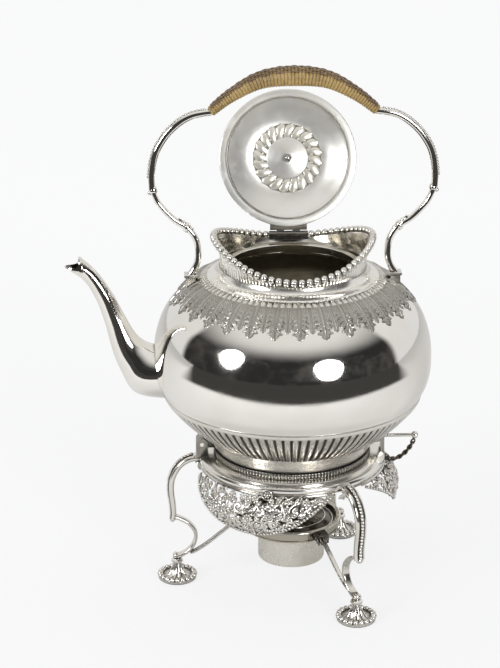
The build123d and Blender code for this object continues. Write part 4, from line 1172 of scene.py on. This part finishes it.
badges.make("flower_badges", "stand", pearl, ["rosettes"], corner=80)

# %% [markdown]
# ## Legs, feet and struts
# Each leg is a ribbon that bows out from the ring, ends in a spur, and hands over to a C-scroll
# that stands on a dished foot. It is drawn once at azimuth zero and turned into place.

# %% Leg
leg_spots = [(67.2, 98.2), (74.0, 97.2), (80.6, 93.6), (85.4, 87.4), (88.2, 79.6), (88.6, 71.0),
             (87.4, 61.0), (87.0, 54.0), (87.6, 48.6)]
scroll_spots = [(87.4, 50.6), (82.4, 48.8), (76.0, 44.8), (71.8, 39.0), (71.0, 33.6), (72.6, 27.8),
                (76.4, 22.8), (81.2, 19.6), (86.2, 18.2)]


def leg_form():
    stock, beads = Stock(), Stock()
    ribbon = flat_path(leg_spots)
    stock.add(draw(ribbon, lambda t: strap(9.4 - 1.2 * t, 4.5 - 1.3 * t, 0.42)))
    out_way = np.cross(course(ribbon), (0, 1, 0))
    out_way *= np.sign(out_way[len(ribbon) // 2][0])
    thick = np.array([4.5 - 1.3 * i / (len(ribbon) - 1) for i in range(len(ribbon))])[:, None]
    outer = ribbon + out_way * thick / 2
    for spot in deal(outer[7:-2] + out_way[7:-2] * 0.4, 2.4):
        beads.bead(spot, 1.4, count=10)
    # Two thin wires beside the bead row are marked fully dark: painted shade.
    for shift in (-2.0, 2.0):
        line = outer[6:-1] + np.array((0, shift, 0))
        beads.add(draw(line, oval(0.7, 1.0, 8)), lambda i, j: 1.0)
    stock.add(draw(flat_path(scroll_spots), lambda t: strap(6.6 - 0.8 * sin(pi * t), 2.6, 0.45)))
    for x, z, r in ((88.2, 48.4, 2.2), (86.0, 18.6, 2.4), (72.2, 46.2, 0.1)):
        stock.bead((x, 0, z), r, (1, 1.35, 1), count=12)
    for lean in range(-2, 3):
        stem = [(69.2, lean * 0.9, 96.2 - abs(lean) * 0.2), (68.6, lean * 1.7, 91.4),
                (66.8 + 0.4 * abs(lean), lean * 2.3, 87.6 + abs(lean))]
        beads.add(draw(flow(stem, 4), lambda t: oval(2.4 * sin(pi * (0.12 + 0.8 * t)), 1.3, 8)))
    return stock, beads


foot_out = 85.0


def foot_form():
    stock, beads = Stock(), Stock()
    r, petals_round, foot_beads, steps = 14.8, 12, 20, 96
    bottom = [(0.0, 0.0), (r - 2.0, 0.0), (r - 0.9, 0.8), (r - 0.7, 2.0), (r - 1.2, 3.6), (r - 2.6, 4.4),
              (10.2, 3.3), (7.6, 3.6), (5.9, 5.4), (4.4, 8.8), (3.3, 12.2), (3.0, 13.0), (4.3, 13.9),
              (4.4, 15.2), (3.1, 16.5), (0.0, 16.8)]

    def flute(angle, i):
        return -0.16 * bottom[i][0] * (1 - abs(sin(angle * petals_round / 2))) if 7 <= i <= 10 else 0.0

    # Painted shade on the dish's rim under the beads and in the grooves between the flutes.
    def flute_dark(k, i):
        if 4 <= i <= 6:
            return 0.85
        groove = abs(sin(2 * pi * k / steps * petals_round / 2))
        return 0.8 * max(0.0, 0.45 - groove) / 0.45 if 7 <= i <= 10 else 0.0

    stock.add(turn(bottom, steps, flute), flute_dark, around=True)
    for k in range(foot_beads):
        a = 2 * pi * k / foot_beads
        beads.bead(polar_rad(a, r - 2.1, 3.5), 2.15, count=12)
    for made in (stock, beads):
        made.move(lambda v: (v[0] + foot_out, v[1], v[2]))
    return stock, beads


# %% Strut
def strut_form():
    stock, leaf = Stock(), Stock()
    rib = flat_path([(75.0, 20.4), (70.2, 22.6), (62.6, 27.8), (54.0, 35.0), (46.4, 41.2), (40.6, 45.2),
                     (35.4, 47.0)], 6)
    stock.add(draw(rib, lambda t: strap(3.5, 1.9, 0.42)))
    for shift in (-1.3, 1.3):
        stock.add(draw(rib[1:-1] + np.array((0, shift, 1.1)), oval(0.9, 0.9, 6)))
    for lean in range(-2, 3):
        stem = [(36.4, lean * 2.0, 50.4), (40.4, lean * 2.3, 48.8 - 0.7 * abs(lean)),
                (44.4 - 0.8 * abs(lean), lean * 1.9, 42.8)]
        leaf.add(draw(flow(stem, 4), lambda t: oval(3.2 * sin(pi * (0.15 + 0.8 * t)), 2.2, 8)))
    leaf.bead((38.6, 0, 46.0), 3.6, (1, 1.25, 1), count=12)
    return stock, leaf


def turned_by(azimuth):
    c, s = cos(radians(azimuth)), sin(radians(azimuth))
    return lambda v: (v[0] * c - v[1] * s, v[0] * s + v[1] * c, v[2])


for word, azimuth in leg_places:
    place = turned_by(azimuth)
    for (form, beads), part, finish in ((leg_form(), "leg_", cast), (foot_form(), "foot_", turned)):
        form.move(place).make(part + "cast_" + word, "stand", finish, [part + word], 45)
        beads.move(place).make(part + "beads_" + word, "stand", bead, corner=80)
    # Each strut's leaf is dark silver: painted shade.
    form, leaf = strut_form()
    form.move(place).make("strut_cast_" + word, "stand", turned, ["strut_" + word], 45)
    leaf.move(place).make("strut_leaf_" + word, "stand", shade_dark_silver, corner=60)

# %% [markdown]
# ## Burner
# A shallow drum holds the lamp by its flange. The reservoir hangs through it, and a domed cover
# carries the wick tube under its cap.

# %% Holder and lamp
drum = [(35.0, 43.0), (35.6, 43.3), (35.6, 44.2), (35.0, 44.6), (35.0, 49.2), (35.8, 50.0), (36.0, 50.6),
        (35.6, 51.0), (33.4, 51.0), (33.4, 44.6), (26.0, 44.6), (26.0, 43.0)]
# The drum's side is darkened with painted shade from the kettle above.
lathe("lamp_drum", drum, "stand", drum_side, ["burner_holder"])
tank = [(0.0, 18.0), (23.4, 18.0), (24.2, 18.4), (24.5, 19.2), (24.5, 45.0), (33.0, 45.0), (33.0, 46.6),
        (23.0, 46.6), (23.0, 19.5), (0.0, 19.5)]
lathe("lamp_tank", tank, "burner", reservoir, ["burner_font"])
# The cover, the wick sleeve and the cap are dark silver: painted shade under the kettle.
cover = curve([(32.0, 46.6), (30.0, 48.0), (24.0, 50.6), (16.0, 52.8), (9.0, 54.0), (6.2, 54.6)], 6)
lathe("lamp_cover", cover + [(4.6, 54.6), (4.6, 46.6)], "burner", shade_dark_silver, ["burner_cover"])
for ring_r, ring_z in ((30.6, 47.9), (25.0, 50.5), (18.0, 52.6)):
    wire = [(ring_r + x, ring_z + y) for x, y in oval(1.0, 1.0, 10)]
    lathe(f"cover_line_{ring_r:.0f}", wire, "burner", pearl, count=96)
rim_wire = [(36.0 + x, 50.5 + y) for x, y in oval(1.4, 1.4, 12)]
lathe("drum_rim", rim_wire, "stand", pearl)
tube = [(4.6, 34.6), (4.6, 60.0), (4.4, 60.6), (3.6, 60.6), (3.4, 60.2), (3.4, 34.6)]
lathe("wick_sleeve", tube, "burner", shade_dark_silver, ["wick_tube"], count=48)
braid_side = [(3.3, z) for z in np.linspace(24, 61, 40)]
braid = [(0.0, 19.9), (3.3, 19.9)] + braid_side + [(2.8, 62.0), (0.0, 62.1)]


def braid_wave(angle, i):
    return -0.25 * (0.5 + 0.5 * sin(angle * 8 + i * 1.6)) if 1 < i < 42 else 0.0


lathe("braided_wick", braid, "burner", cotton, ["wick"], 48, braid_wave, slot="wick")
cap = [(5.5, 55.0), (7.0, 55.0), (7.2, 55.4), (7.0, 56.0), (7.0, 61.2), (6.2, 62.9), (3.8, 64.0),
       (0.0, 64.0), (0.0, 62.5), (5.5, 61.9)]
lathe("wick_cap", cap, "snuffer", shade_dark_silver, ["snuffer_cap"], count=64)
knob = curve([(1.2, 64.0), (1.1, 65.2), (2.2, 66.8), (2.3, 68.0), (1.5, 69.6), (0.0, 70.0)], 6)
lathe("cap_knob", knob + [(0.0, 64.0)], "snuffer", turned, ["snuffer_knob"], count=48)

# %% [markdown]
# ## Locking pin and chain
# A pin opposite the spout stops the kettle from tipping. A short chain hangs in a slack curve
# between the ring and its ball knob. Single links, each a quarter turn from the last, are set
# along that curve.

# %% Pin knob and chain
pin_end, pin_z = 88.0, 112.5
pin_ball = flow([(0.0, 1.3), (0.6, 2.2), (2.4, 2.8), (4.2, 2.2), (5.0, 0.0)], 6)
knob_side = [(r, x) for x, r in pin_ball] + [(0.0, 5.0), (0.0, 0.0)]
knob_stock = Stock().add(turn(knob_side, 40), around=True)
knob_stock.move(lambda v: (pin_end + v[2], v[1], pin_z + v[0]))
knob_stock.make("pin_ball", "rear_pin", turned, ["pin_knob"], slot="polished_silver")
chain_path = flat_path([(69.2, 96.6), (71.8, 94.2), (75.6, 93.6), (80.2, 95.6), (84.6, 99.6), (88.0, 104.6),
                        (89.6, 108.4)], 10)
link_spots, link_half, link_wide, wire_half = deal(chain_path, 2.7), 2.05, 1.2, 0.75
chain = Stock()
for k, (here, after) in enumerate(zip(link_spots, link_spots[1:])):
    way = (after - here) / np.linalg.norm(after - here)
    lift = np.cross(way, (0, 1, 0))
    side = np.array((0, 1, 0)) if k % 2 else lift
    flat = lift if k % 2 else np.array((0, 1, 0))
    middle = (here + after) / 2
    ring = [middle + way * link_half * cos(a) + side * link_wide * sin(a) for a in full_turn(16)]
    rows = []
    for i, point in enumerate(ring):
        away = (point - middle) / np.linalg.norm(point - middle)
        rows.append([point + away * wire_half * cos(b) + flat * wire_half * sin(b) for b in full_turn(8)])
    chain.add(rows, around=True)
# The chain is dark silver: painted shade.
chain.make("safety_chain", "stand", shade_dark_silver, ["pin_chain"], corner=80)

# %% [markdown]
# ## Small CAD parts
# Hinge, pivots and pins keep their CAD shape. The pins get clean silver, and the plates and lugs
# get the aged one.

# %% Finish the CAD parts
for name, node in nodes.items():
    if node.hide_render:
        continue
    node.data.materials.clear()
    node.data.materials.append(turned if name in ("locking_pin", "hinge_pin", "pivot_pin") else aged)
    print("kept", name)
